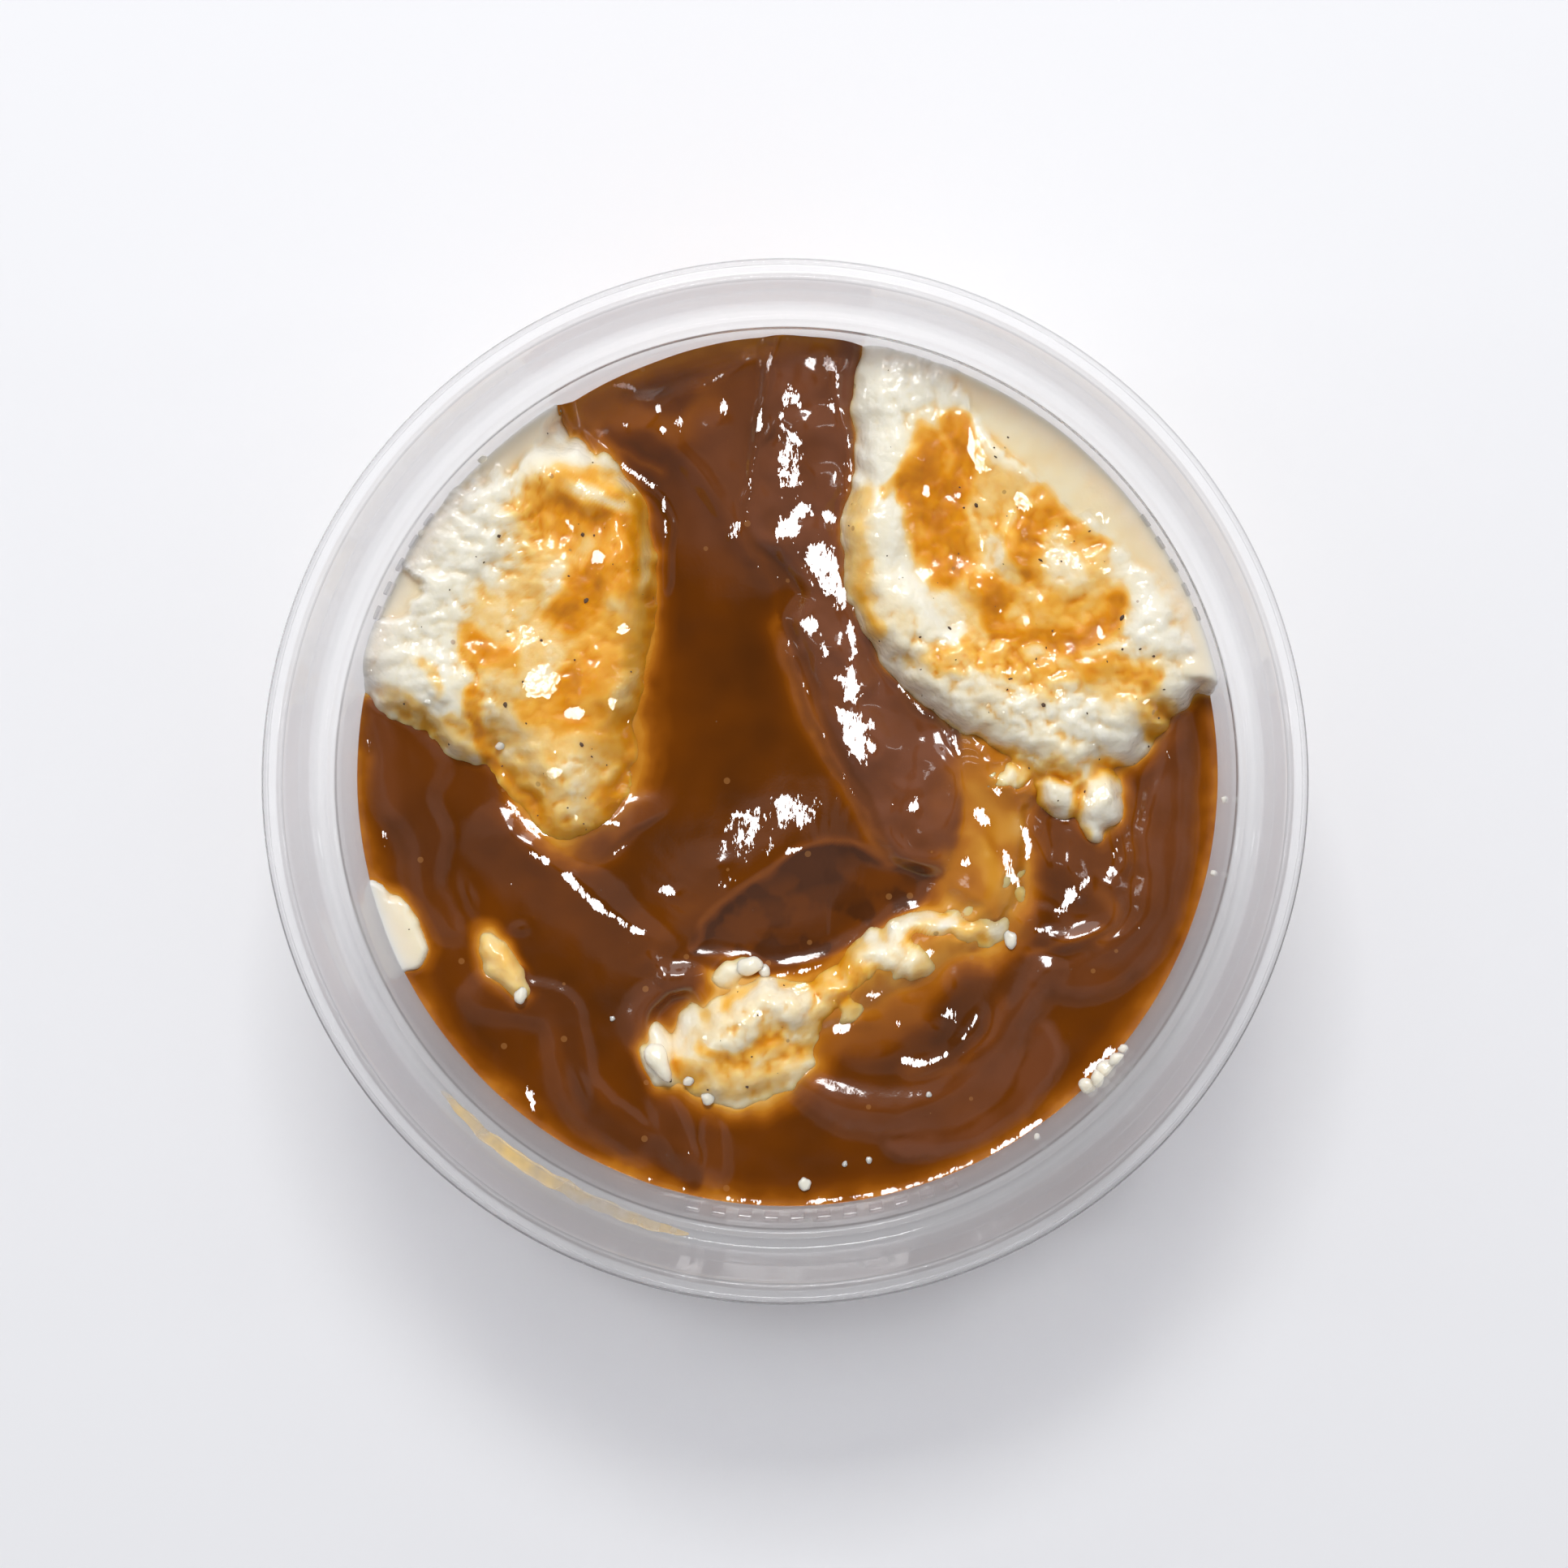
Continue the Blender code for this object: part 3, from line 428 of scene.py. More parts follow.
# Wet facets of the gravy turned to the light: centre, half-widths, turn, strength
GRAVY_SHINES = [
    ((0.6, 43.3), 0.9, 1.8, 0, 0.72), ((0.4, 36.8), 1.6, 4.2, 4, 0.66), ((-7.1, 42.9), 0.9, 0.8, 0, 0.68),
    ((1.5, 30.7), 1.4, 1, 20, 0.95), ((0.1, 28.5), 1.8, 1, 10, 1), ((4.7, 30.4), 0.8, 0.8, 0, 0.9),
    ((3.9, 25.2), 1.9, 2.6, 0, 0.9), ((5.6, 21.9), 1.2, 2.4, 10, 0.95), ((2.8, 17.5), 1.3, 1.2, 0, 0.85),
    ((4.5, 14.2), 0.4, 1.2, 25, 0.9), ((7.5, 16.4), 0.4, 2.2, 8, 0.8), ((7.5, 10.3), 1.2, 2.6, 8, 0.88),
    ((7.2, 7), 1.5, 1.1, 0, 0.85), ((8.4, 4.6), 1.6, 2.4, 15, 0.95), ((14.6, 0.9), 0.6, 0.6, 0, 0.85),
    ((14.6, -3.2), 0.9, 0.6, 35, 0.85), ((12.6, -3), 0.7, 0.2, 0, 0.85), ((-4.8, -6.2), 2.8, 3, 8, 0.58),
    ((0.6, -4.1), 3, 2.3, 5, 0.64), ((-14.2, -13.2), 0.9, 0.6, 0, 0.85), ((-7.1, -12), 1, 0.9, 0, 0.6),
    ((-30, -37.4), 0.4, 1.2, 15, 0.95), ((-14.7, 42.7), 0.3, 0.6, 0, 0.95),
    ((-14.2, 40.3), 0.4, 0.4, 0, 0.95), ((-12.3, 41.1), 0.4, 1.7, -4, 0.78),
    ((-18.6, 40.8), 0.3, 0.3, 0, 0.9), ((-6, 28.7), 0.8, 1, -30, 0.66), ((-1.1, 23.1), 0.3, 0.6, -20, 0.95),
    ((5.7, 35), 0.2, 0.9, -12, 0.95), ((6.5, 35.1), 0.2, 0.9, -12, 0.95), ((4.8, 47.2), 0.8, 0.9, 0, 0.75),
    ((5.3, 42.9), 0.6, 0.8, 0, 0.7), ((22.5, -4.1), 0.6, 1.3, 20, 0.95), ((25.8, -10.3), 0.6, 2.2, 25, 0.9),
    ((6.7, -29), 1.1, 0.9, 40, 0.9), ((10, -25.4), 0.8, 0.5, 20, 0.85), ((12.9, -29), 0.4, 0.9, 0, 0.9),
    ((19.2, -27.4), 0.9, 0.9, 0, 0.72), ((14.2, -33), 0.8, 0.4, 0, 0.95),
    ((27.7, -6.8), 0.5, 2.2, 12, 0.88), ((32.6, -14.5), 0.6, 2, -25, 0.9),
    ((37.8, -10.2), 0.4, 1.7, -8, 0.85), ((30.5, -17.9), 2, 0.25, -10, 0.85),
    ((34.6, -12.4), 0.4, 1, -30, 0.85), ((24.4, -1.6), 0.5, 0.7, 0, 0.8), ((20.8, -9.6), 0.4, 0.7, 0, 0.8),
    ((-25.8, -16.8), 0.5, 0.3, 0, 0.6), ((-36.4, 1.4), 0.3, 0.5, 0, 0.6), ((16.6, -20.2), 0.5, 0.4, 0, 0.9),
    ((8.2, -22.2), 0.5, 0.5, 0, 0.9), ((-47, -7), 0.3, 1, 0, 0.8),
]

# Thin wet lines on the gravy that catch the light: route, half-width, strength
GRAVY_GLINTS = [
    ([(5.8, 48), (6, 44), (7, 40.5), (7.4, 36.5), (7, 33), (6.6, 31.5)], 0.12, 0.9),
    ([(6.8, 29), (7, 24), (8, 19), (10, 15)], 0.12, 0.85),
    ([(12.5, 11.5), (15.5, 8), (18, 6.5)], 0.12, 0.95),
    ([(17.6, 6.2), (19.5, 4), (20.7, 1.6)], 0.15, 0.95),
    ([(-19.8, 37), (-17.2, 35), (-14.6, 33.4)], 0.3, 1),
    ([(-14.4, 33.2), (-14.1, 30), (-14.3, 27.1)], 0.14, 0.95),
    ([(-1.5, 49.4), (-2.2, 46)], 0.2, 0.85),
    ([(-2.6, 43.6), (-3.4, 39.4)], 0.22, 0.95),
    ([(-3.4, 39), (-4.2, 34), (-4.8, 29)], 0.1, 0.75),
    ([(-20.8, 45.2), (-18.5, 45.2), (-16.1, 43.9)], 0.3, 0.95),
    ([(-10.2, 45), (-8.5, 45.6), (-6.4, 46.8)], 0.14, 0.9),
    ([(-4.1, 25.2), (-2.9, 23.8)], 0.25, 0.85),
    ([(-0.3, 16.9), (1.6, 12), (3.2, 7.6), (5.4, 2.6)], 0.1, 0.85),
    ([(5.6, 2.2), (8, -2.4), (9.6, -5.4)], 0.08, 0.7),
    ([(-0.8, -9), (2.2, -8)], 0.28, 0.9),
    ([(-30.8, -8.2), (-27, -10.3)], 0.35, 0.8),
    ([(-26.4, -10.6), (-22.5, -14.5), (-18.3, -17.4), (-15.8, -18.5)], 0.45, 0.88),
    ([(-21.4, -9.8), (-18.2, -7.4)], 0.18, 0.8),
    ([(13.8, -33.7), (17.2, -33), (19.4, -31.8)], 0.35, 0.95),
    ([(20, -31), (21.6, -28.8), (22.6, -26.8)], 0.22, 0.95),
    ([(30.4, -39.6), (26.5, -42.3), (23.2, -44.2)], 0.3, 0.9),
    ([(22.4, -44.6), (15.6, -47.4), (9.2, -48.9), (1.5, -49.8)], 0.22, 0.9),
    ([(34.2, -35.1), (36.4, -33.3), (38.6, -31.1)], 0.45, 0.9),
    ([(-2, -49.8), (-8, -49.2)], 0.2, 0.85),
    ([(-11.2, -48.5), (-17.3, -46.7)], 0.12, 0.8),
    ([(-2.5, -23.3), (0.5, -22.9), (3, -22.3), (5, -21.5)], 0.18, 0.95),
    ([(40, -31), (42.6, -27.4)], 0.14, 0.7),
    ([(37.6, -4.6), (38.4, -8.2)], 0.14, 0.8),
    ([(43.6, 5), (44.8, 1)], 0.14, 0.7),
    ([(-25.2, -33.4), (-23.8, -37.4)], 0.1, 0.55),
    ([(-11, -45), (-10, -48)], 0.12, 0.7),
    ([(-48.9, -1), (-48.8, 5)], 0.12, 0.6),
    ([(17.8, 40), (20.2, 36), (20.4, 32)], 0.14, 1),
    ([(14.9, 32), (16.4, 29.6)], 0.14, 0.9),
    ([(24.6, 21.4), (25.4, 18.6)], 0.14, 0.9),
    ([(27.4, 17.4), (31.6, 16.6)], 0.14, 0.75),
    ([(-24.4, -6.4), (-21.4, -5.2), (-18.6, -5.6)], 0.3, 0.95),
    ([(-33, -2.4), (-29.6, -6.2)], 0.25, 0.85),
]

# Wet facets of the mash turned to the light: centre, half-widths, turn, strength
MASH_SHINES = [
    ((-28.2, 11.2), 2, 1.6, -20, 1), ((-24.3, 7.7), 1.3, 0.8, 20, 0.9), ((-20.1, 9), 0.5, 0.9, 0, 0.9),
    ((-26.7, 0.7), 1.2, 0.6, 10, 0.8), ((-19, 17.3), 0.8, 0.6, 0, 0.9), ((-21.4, 25.3), 1, 0.8, -30, 0.9),
    ((-24.6, 28.8), 0.3, 1.1, 30, 0.9), ((-22.4, 33), 0.9, 0.3, -25, 0.9),
    ((21.9, 37.6), 0.8, 2.6, 10, 0.95), ((26.9, 31.7), 1.2, 1.2, 30, 0.85),
    ((22.4, 27.3), 0.3, 1.2, 10, 0.9), ((33.2, 25.3), 0.5, 1, 20, 0.85), ((23.5, 23.1), 0.3, 0.9, 20, 0.9),
    ((19.6, 32.4), 0.4, 0.6, 0, 0.9), ((30.4, 27.4), 0.7, 0.3, 20, 0.85), ((16, 33), 0.5, 0.6, 0, 0.9),
    ((36.6, 24), 0.9, 0.4, 0, 0.8), ((27.8, 18.2), 0.4, 0.6, 0, 0.85), ((36, 17), 0.4, 0.9, 0, 0.85),
    ((36.2, -2), 1.5, 1.1, 0, 0.8), ((-3.8, -27.6), 1.6, 0.5, 30, 0.9), ((1.8, -24.6), 1, 0.5, 20, 0.9),
    ((12.8, -17.2), 0.7, 0.4, 0, 0.9), ((-9.6, -30.2), 0.6, 0.3, 0, 0.85), ((25, 12.4), 0.7, 0.4, 0, 0.85),
    ((31.6, 9.8), 1, 0.7, 20, 0.85), ((-38.6, 26.4), 0.5, 0.5, 0, 0.7), ((-41.4, 9), 0.5, 0.3, 0, 0.85),
    ((25.4, 42), 0.6, 0.2, -30, 0.7), ((36, 30), 1.2, 0.6, -40, 0.6), ((32, 34), 0.5, 0.3, -40, 0.7),
    ((9, 44), 0.3, 1.2, 0, 0.7), ((10.2, 38), 0.3, 1, 0, 0.7),
]

# Clean mash that stands out of the soaked parts: centre, half-widths, turn, strength
DRY_SPOTS = [
    ((13.6, -17.2), 2.2, 1.3, 30, 0.85), ((9.6, -20.2), 1.6, 1.1, 40, 0.6),
    ((19.4, -16.4), 1.6, 0.8, 10, 0.8), ((6, -23.2), 1.3, 0.9, 0, 0.5), ((12.4, -20.6), 3.4, 1.9, -10, 0.8),
    ((-21.6, 32.2), 3.4, 0.9, -20, 0.75), ((-27, 22.6), 1.2, 2.6, -10, 0.5), ((-23.6, 26), 1, 2, -20, 0.45),
    ((-16.4, 26), 0.8, 4, 0, 0.5), ((25.6, 23.4), 1.1, 1.6, 20, 0.6), ((31.6, 24.6), 2.6, 1.8, 10, 0.35),
    ((23.4, 26), 1, 2.4, -10, 0.6), ((28.2, 14.6), 1.2, 0.9, 0, 0.6), ((36.6, -2.8), 3.2, 2.4, -50, 0.8),
    ((33, 9.6), 2.4, 1.4, -20, 0.5), ((-29.4, 10.4), 1.6, 1, 0, 0.4), ((20.2, -3.4), 1, 0.9, 0, 0.4),
    ((24.8, 0.4), 2, 1, 0, 0.5), ((31.2, -1.6), 1.8, 1.3, -40, 0.7),
]

# Where the gravy's look is set: route, half-width, softness, depth, milkiness (skin haze, partly a painted
# sheen), strength
TONES = [
    ([(-30.9, -23.7), (-27.6, -24.8), (-25.9, -26.7), (-25.1, -31.7), (-23.4, -37.5), (-20, -41.7),
     (-14.2, -44.2), (-10.9, -46.7)], 1.2, 0.7, 6.6, 0.15, 0.85),
    ([(-46.4, 5.6), (-42, 2.2), (-38, -0.4), (-35.6, -1.6)], 2.8, 1.8, 5, 0.1, 0.85),
    ([(-47.8, 8), (-46.6, 3.5), (-46.2, -3)], 1.2, 1, 4.2, 0.5, 0.8),
    ([(22, 1), (24.5, -3), (25.6, -8), (25.4, -14), (26, -17)], 2.8, 1.8, 0.9, 0, 0.75),
    ([(21.6, -1), (24, -4), (25.5, -6.5)], 1.3, 1.3, 0.4, 0, 0.85),
    ([(23, -9.5), (25, -12.5), (26, -15)], 1.4, 1, 0.45, 0, 0.9),
    ([(18.5, -9.5), (20.5, -13.6)], 1.2, 1.4, 0.8, 0, 0.8),
    ([(24.4, 0.2), (26, 0.5)], 0.8, 0.9, 0.1, 0, 0.9),
    ([(26.4, -4.6), (27.2, -6)], 0.8, 1.2, 0.15, 0, 0.9),
    ([(22.8, -7.4), (23.4, -9)], 0.5, 0.9, 0.2, 0, 0.8),
    ([(29.4, -1), (31.2, -0.8)], 0.8, 0.9, 0.1, 0, 0.9),
    ([(-5, -17.4), (3, -14.6), (10, -12.4)], 3.4, 3, 3.4, 0.08, 0.7),
    ([(31, -4.5), (33, -9), (34.6, -13), (34, -17)], 2.4, 1.8, 4.4, 0.05, 0.8),
    ([(36.8, -13.6), (38.6, -16.6), (37, -19)], 0.9, 0.9, 1.5, 0.3, 0.7),
    ([(28, -20.4), (31.6, -19.4), (36.6, -17.4)], 0.5, 0.6, 1.6, 0.1, 0.7),
    ([(-25, 42.8), (-18.2, 46.3), (-10.2, 48.7), (-3, 49.8), (5, 49.6)], 1.4, 1.8, 0.9, 0, 0.9),
    ([(-24.6, 42.4), (-22, 40.8)], 0.9, 0.9, 0.8, 0, 0.8),
    ([(-22.5, 39.6), (-18.4, 37.8), (-14.6, 35.4)], 0.5, 0.8, 1, 0, 0.75),
    ([(-21, 42.4), (-16, 41.4), (-12, 40.4), (-9.5, 42.8)], 2.2, 1.6, 1.8, 0.05, 0.85),
    ([(-8.5, 40.5), (-6.6, 36), (-5.4, 31.5)], 2, 1.8, 4, 0.6, 0.7),
    ([(-10.6, 36), (-9.6, 32), (-9, 28)], 1.4, 1.2, 4.6, 0.5, 0.6),
    ([(-10.9, -20), (-9.1, -16.5), (-6.2, -13.5), (-2.2, -11), (1.2, -8.5), (3.8, -7.5), (6.6, -7.3),
     (9.2, -8), (12.4, -9.9), (15.4, -9.9), (17.8, -11)], 0.45, 0.45, 2, 0.35, 0.85),
    ([(-12, -21), (-9.5, -21.6), (-4, -22.2), (1, -22)], 0.5, 0.5, 4.4, 0.4, 0.7),
    ([(5, -31), (10, -30), (15, -28)], 2, 2, 1.5, 0, 0.8),
    ([(10, -26.4), (14, -26.4), (18.5, -23.5)], 1.4, 1.6, 1.2, 0, 0.75),
    ([(14, -34.6), (19, -34), (23, -30.6), (25, -26.6)], 1, 0.9, 2.6, 0.15, 0.7),
    ([(-3, 26), (-1, 20), (0, 14), (3.4, 7)], 0.2, 0.9, 2.4, 0, 0.5),
    ([(-0.4, 17), (1.6, 12), (3.2, 7.6), (5.4, 2.6), (8, -2.4), (10.4, -6.4), (12.4, -9.4)], 0.15, 0.35,
     1.5, 0.5, 0.8),
]

# Hollows with a lip: outline, lip softness, depth, lip rise, milkiness inside (skin haze, partly a painted
# sheen)
HOLLOWS = {
    "pocket": {"line": [(-11.2, -20.2), (-9.5, -16.9), (-6.6, -14), (-2.5, -11.5), (0.9, -9), (3.4, -7.9),
        (6.3, -7.7), (8.8, -8.3), (10.5, -9.2), (12.6, -10), (15.1, -10), (17.6, -11), (16.7, -12.7),
        (15.5, -14.6), (13, -15.6), (11.3, -16.9), (9.6, -18.1), (6.3, -20), (2.1, -21), (-1.2, -21.5),
        (-4.1, -20.8), (-7, -20.4), (-9.5, -20.6)], "soft": 4, "depth": 0.5, "lip": 0.15, "milk": 0.18},
    "small hollow": {"line": [(-15.6, -30.5), (-15.8, -27.5), (-13.8, -25.4), (-11.2, -25.3), (-10.2, -27),
        (-11.5, -30), (-13.4, -31.8)], "soft": 1.8, "depth": 1.5, "lip": 0.2, "milk": 0.3},
}


# ---------------------------------------------------------------- settings

class TubSettings(bpy.types.PropertyGroup):
    """Sizes and colour of the clear tub."""
    segments: bpy.props.IntProperty(name="Segments", description="Steps round the tub", default=256, min=32)
    colour: bpy.props.FloatVectorProperty(
        name="Colour", description="Tint of the clear plastic", subtype="COLOR", size=3,
        default=(0.99, 0.99, 0.995))
    lug_width: bpy.props.FloatProperty(
        name="Lug width", description="Width of one stacking lug", default=1.65 * MM, unit="LENGTH")
    lug_height: bpy.props.FloatProperty(
        name="Lug height", description="Height of one stacking lug", default=3.0 * MM, unit="LENGTH")


class MashSettings(bpy.types.PropertyGroup):
    """Grain and colours of the mash."""
    cells: bpy.props.IntProperty(name="Cells", description="Mesh cells across the mash", default=305, min=60)
    cream: bpy.props.FloatVectorProperty(
        name="Cream", description="Colour of clean mash", subtype="COLOR", size=3,
        default=(0.98, 0.865, 0.72))
    pressed: bpy.props.FloatVectorProperty(
        name="Pressed mash", description="Colour of mash smeared on the wall", subtype="COLOR", size=3,
        default=(0.96, 0.83, 0.62))
    pepper: bpy.props.IntProperty(name="Pepper", description="Number of pepper flakes", default=120, min=1)


class GravySettings(bpy.types.PropertyGroup):
    """Grain and colours of the gravy."""
    cells: bpy.props.IntProperty(name="Cells", description="Mesh cells across the gravy", default=360, min=60)
    deep: bpy.props.FloatVectorProperty(
        name="Deep", description="Colour where the gravy is deep", subtype="COLOR", size=3,
        default=(0.160, 0.040, 0.0018))
    middle: bpy.props.FloatVectorProperty(
        name="Middle", description="Colour a few millimetres deep", subtype="COLOR", size=3,
        default=(0.245, 0.066, 0.003))
    thin: bpy.props.FloatVectorProperty(
        name="Thin", description="Colour of a thin film", subtype="COLOR", size=3,
        default=(0.50, 0.175, 0.012))
    # Skin colour: the set skin's own tone together with a painted lavender sheen
    skin: bpy.props.FloatVectorProperty(
        name="Skin", description="Colour of the set skin on folds", subtype="COLOR", size=3,
        default=(0.195, 0.063, 0.025))


class StageSettings(bpy.types.PropertyGroup):
    """Floor, light and camera."""
    floor: bpy.props.FloatVectorProperty(
        name="Floor", description="Colour of the floor", subtype="COLOR", size=3, default=(0.90, 0.905, 0.93))
    distance: bpy.props.FloatProperty(
        name="Camera height", description="Height of the camera over the rim", default=450.0 * MM,
        unit="LENGTH")
    key: bpy.props.FloatProperty(
        name="Key light", description="Power of the key light", default=7.8, unit="POWER")
    back: bpy.props.FloatProperty(
        name="Back light", description="Power of the broad light behind", default=4.8, unit="POWER")
    side: bpy.props.FloatProperty(
        name="Side lights", description="Power of each strip at the side", default=0.8, unit="POWER")
    ceiling: bpy.props.FloatProperty(name="Ceiling", description="Brightness straight overhead", default=0.02)
    walls: bpy.props.FloatProperty(name="Walls", description="Brightness of the room all round", default=0.35)


# ---------------------------------------------------------------- shapes in the plane

def smooth_step(t):
    """0 below 0, 1 above 1, and an S-curve between."""
    t = np.clip(t, 0.0, 1.0)
    return t * t * (3.0 - 2.0 * t)


def soft_max(a, b, rounding=0.6):
    """The larger of two heights, with a rounded inner corner where they meet."""
    return 0.5 * (a + b + np.sqrt((a - b) ** 2 + rounding ** 2))


def inner_wall_radius(z):
    """Radius of the tub's inner face below the ledge."""
    slope = (LEDGE_IN_RADIUS - WALL_FOOT_RADIUS) / (LEDGE_Z - WALL_FOOT_Z)
    return WALL_FOOT_RADIUS + slope * (z - WALL_FOOT_Z)


def rounded_line(points, closed, steps=6):
    """Catmull-Rom curve through the points."""
    points = np.array(points, float)
    if closed:
        padded = np.vstack([points[-1], points, points[:2]])
    else:
        padded = np.vstack([2 * points[0] - points[1], points, 2 * points[-1] - points[-2]])
    curve = []
    for a, b, c, d in zip(padded[:-3], padded[1:-2], padded[2:-1], padded[3:]):
        for t in np.arange(steps) / steps:
            curve.append(0.5 * (2 * b + (c - a) * t + (2 * a - 5 * b + 4 * c - d) * t * t
                                + (3 * b - a - 3 * c + d) * t ** 3))
    if not closed:
        curve.append(points[-1])
    return np.array(curve)


def along_route(x, y, line):
    """Signed distance across a line (positive on its left), the way along it, and its length."""
    best = np.full(x.shape, FAR)
    across = np.full(x.shape, FAR)
    along = np.zeros(x.shape)
    run = 0.0
    for (ax, ay), (bx, by) in zip(line[:-1], line[1:]):
        dx, dy = bx - ax, by - ay
        length = math.hypot(dx, dy)
        t = np.clip(((x - ax) * dx + (y - ay) * dy) / length ** 2, 0.0, 1.0)
        distance = np.hypot(x - ax - t * dx, y - ay - t * dy)
        nearer = distance < best
        side = np.where(dx * (y - ay) - dy * (x - ax) > 0.0, 1.0, -1.0)
        across = np.where(nearer, side * distance, across)
        along = np.where(nearer, run + t * length, along)
        best = np.where(nearer, distance, best)
        run += length
    return across, along, run


def distance_inside(x, y, line):
    """Distance to a closed outline, positive inside it."""
    ring = np.vstack([line, line[:1]])
    inside = np.zeros(x.shape, bool)
    for (ax, ay), (bx, by) in zip(ring[:-1], ring[1:]):
        if ay != by:
            crosses = (ay > y) != (by > y)
            inside ^= crosses & (x < (bx - ax) * (y - ay) / (by - ay) + ax)
    distance = np.abs(along_route(x, y, ring)[0])
    return np.where(inside, distance, -distance)


def ellipse_radius(x, y, centre, half_long, half_short, turn):
    """1 on the turned ellipse, less inside it."""
    c, s = math.cos(math.radians(turn)), math.sin(math.radians(turn))
    u = (x - centre[0]) * c + (y - centre[1]) * s
    v = (y - centre[1]) * c - (x - centre[0]) * s
    return np.hypot(u / half_long, v / half_short)


# ---------------------------------------------------------------- noise

# Side of the square of random values over which the noise repeats
TABLE = 64

# Uneven looks of each part: size, amount, seed, layers
NOISES = {
    "pressed border": (2.6, 0.9, 22, 3), "pressed top": (9.0, 0.25, 21, 1),
    "pressed grain": (1.6, 0.06, 36, 1), "mash swell": (3.4, 0.12, 34, 1), "mash broad": (6.0, 0.22, 35, 3),
    "spot border": (1.8, 1.0, 66, 1), "fine spot border": (0.8, 0.7, 67, 1), "line width": (1.6, 0.6, 70, 1),
    "stain patches": (5.0, 0.35, 41, 3), "stain grain": (2.4, 0.22, 47, 3),
    "film border": (3.0, 0.8, 61, 1), "fine film border": (1.3, 0.4, 62, 1), "film depth": (8.0, 0.3, 65, 1),
    "skin border": (2.4, 0.5, 53, 4), "skin streaks": (6.0, 0.5, 59, 3), "hollow patches": (5.0, 2.2, 54, 4),
    "tongue swell": (4.4, 0.55, 63, 1), "tongue grain": (1.8, 0.12, 64, 1),
    "gravy swell": (7.0, 0.10, 55, 1), "gravy grain": (2.6, 0.035, 56, 1),
    "depth broad": (11.0, 0.35, 71, 3), "depth fine": (3.4, 0.55, 75, 3), "pocket shade patches": (5.0, 2.4, 72, 4),
    "bit swell": (0.9, 0.25, 91, 1), "smear wave": (5.0, 0.35, 81, 1),
}

# Curds of the mash over the shifted raster: size, height, seed
MASH_CURDS = [(2.6, 0.4, 31), (1.6, 0.55, 32)]
FINE_CURDS = (1.0, 0.45, 33)

# Layers of noise that shift the outlines: size, amount, seed across, seed up
MASH_DRIFT = [(4.4, 0.7, 11, 13), (1.8, 0.35, 12, 14)]
STAIN_DRIFT = [(4.0, 1.0, 43, 45), (1.5, 0.25, 44, 46)]
GRAVY_DRIFT = [(4.5, 0.45, 51, 52), (1.5, 0.12, 57, 58)]
TONE_DRIFT = [(2.6, 0.5, 73, 74)]


def noise(x, y, size, seed):
    """Gradient noise, about -1 to 1, with features of the given size."""
    angles = np.random.default_rng(seed).uniform(0.0, 2.0 * math.pi, (TABLE, TABLE))
    u, v = x / size, y / size
    iu, iv = np.floor(u).astype(int), np.floor(v).astype(int)
    fu, fv = u - iu, v - iv

    def corner(du, dv):
        angle = angles[(iv + dv) % TABLE, (iu + du) % TABLE]
        return np.cos(angle) * (fu - du) + np.sin(angle) * (fv - dv)

    su, sv = smooth_step(fu), smooth_step(fv)
    low = corner(0, 0) * (1 - su) + corner(1, 0) * su
    high = corner(0, 1) * (1 - su) + corner(1, 1) * su
    return 1.5 * (low * (1 - sv) + high * sv)


def layered_noise(x, y, size, seed, layers):
    """Noise with finer and weaker layers on top."""
    total = np.zeros(np.shape(x))
    for layer in range(layers):
        total += noise(x, y, size / 2 ** layer, seed + layer) / 2 ** layer
    return total


def uneven(x, y, name):
    """One of the named noises."""
    size, amount, seed, layers = NOISES[name]
    return amount * layered_noise(x, y, size, seed, layers)


def curds(x, y, size, height, seed):
    """Domes of uneven size on a jittered grid, 0 to the given height."""
    table = np.random.default_rng(seed).uniform(0.0, 1.0, (TABLE, TABLE, 3))
    u, v = x / size, y / size
    iu, iv = np.floor(u).astype(int), np.floor(v).astype(int)
    best = np.zeros(np.shape(x))
    for du in (-1, 0, 1):
        for dv in (-1, 0, 1):
            cell = table[(iv + dv) % TABLE, (iu + du) % TABLE]
            reach = 0.45 + 0.5 * cell[..., 2]
            distance = np.hypot(u - iu - du - cell[..., 0], v - iv - dv - cell[..., 1]) / reach
            best = np.maximum(best, reach * np.sqrt(np.clip(1.0 - distance ** 2, 0.0, 1.0)))
    return height * best


def drifted(x, y, layers):
    """Coordinates shifted by layers of noise."""
    drift_x, drift_y = x, y
    for size, amount, seed_x, seed_y in layers:
        drift_x = drift_x + amount * noise(x, y, size, seed_x)
        drift_y = drift_y + amount * noise(x, y, size, seed_y)
    return drift_x, drift_y


def blurred(field, radius):
    """Field after a Gaussian blur; radius in millimetres."""
    sigma = radius / RASTER_STEP
    reach = int(3 * sigma) + 1
    kernel = np.exp(-0.5 * (np.arange(-reach, reach + 1) / sigma) ** 2)
    kernel /= kernel.sum()
    padded = np.pad(field, reach, mode="edge")
    rows = np.apply_along_axis(np.convolve, 1, padded, kernel, "valid")
    return np.apply_along_axis(np.convolve, 0, rows, kernel, "valid")


# ---------------------------------------------------------------- food as heights

def raster():
    """Coordinates of the raster's points."""
    axis = np.arange(-RASTER_HALF, RASTER_HALF + RASTER_STEP, RASTER_STEP)
    return np.meshgrid(axis, axis)


def window(points, margin):
    """Slice of the raster round some points."""
    points = np.array(points, float)
    low = np.floor((points.min(0) - margin + RASTER_HALF) / RASTER_STEP).astype(int).clip(0)
    high = np.ceil((points.max(0) + margin + RASTER_HALF) / RASTER_STEP).astype(int).clip(1)
    return np.s_[low[1]:high[1], low[0]:high[0]]


def within(x, y, outline, part=WHOLE):
    """Distance inside a rounded outline, over one part of the raster."""
    return distance_inside(x[part], y[part], rounded_line(outline, closed=True))


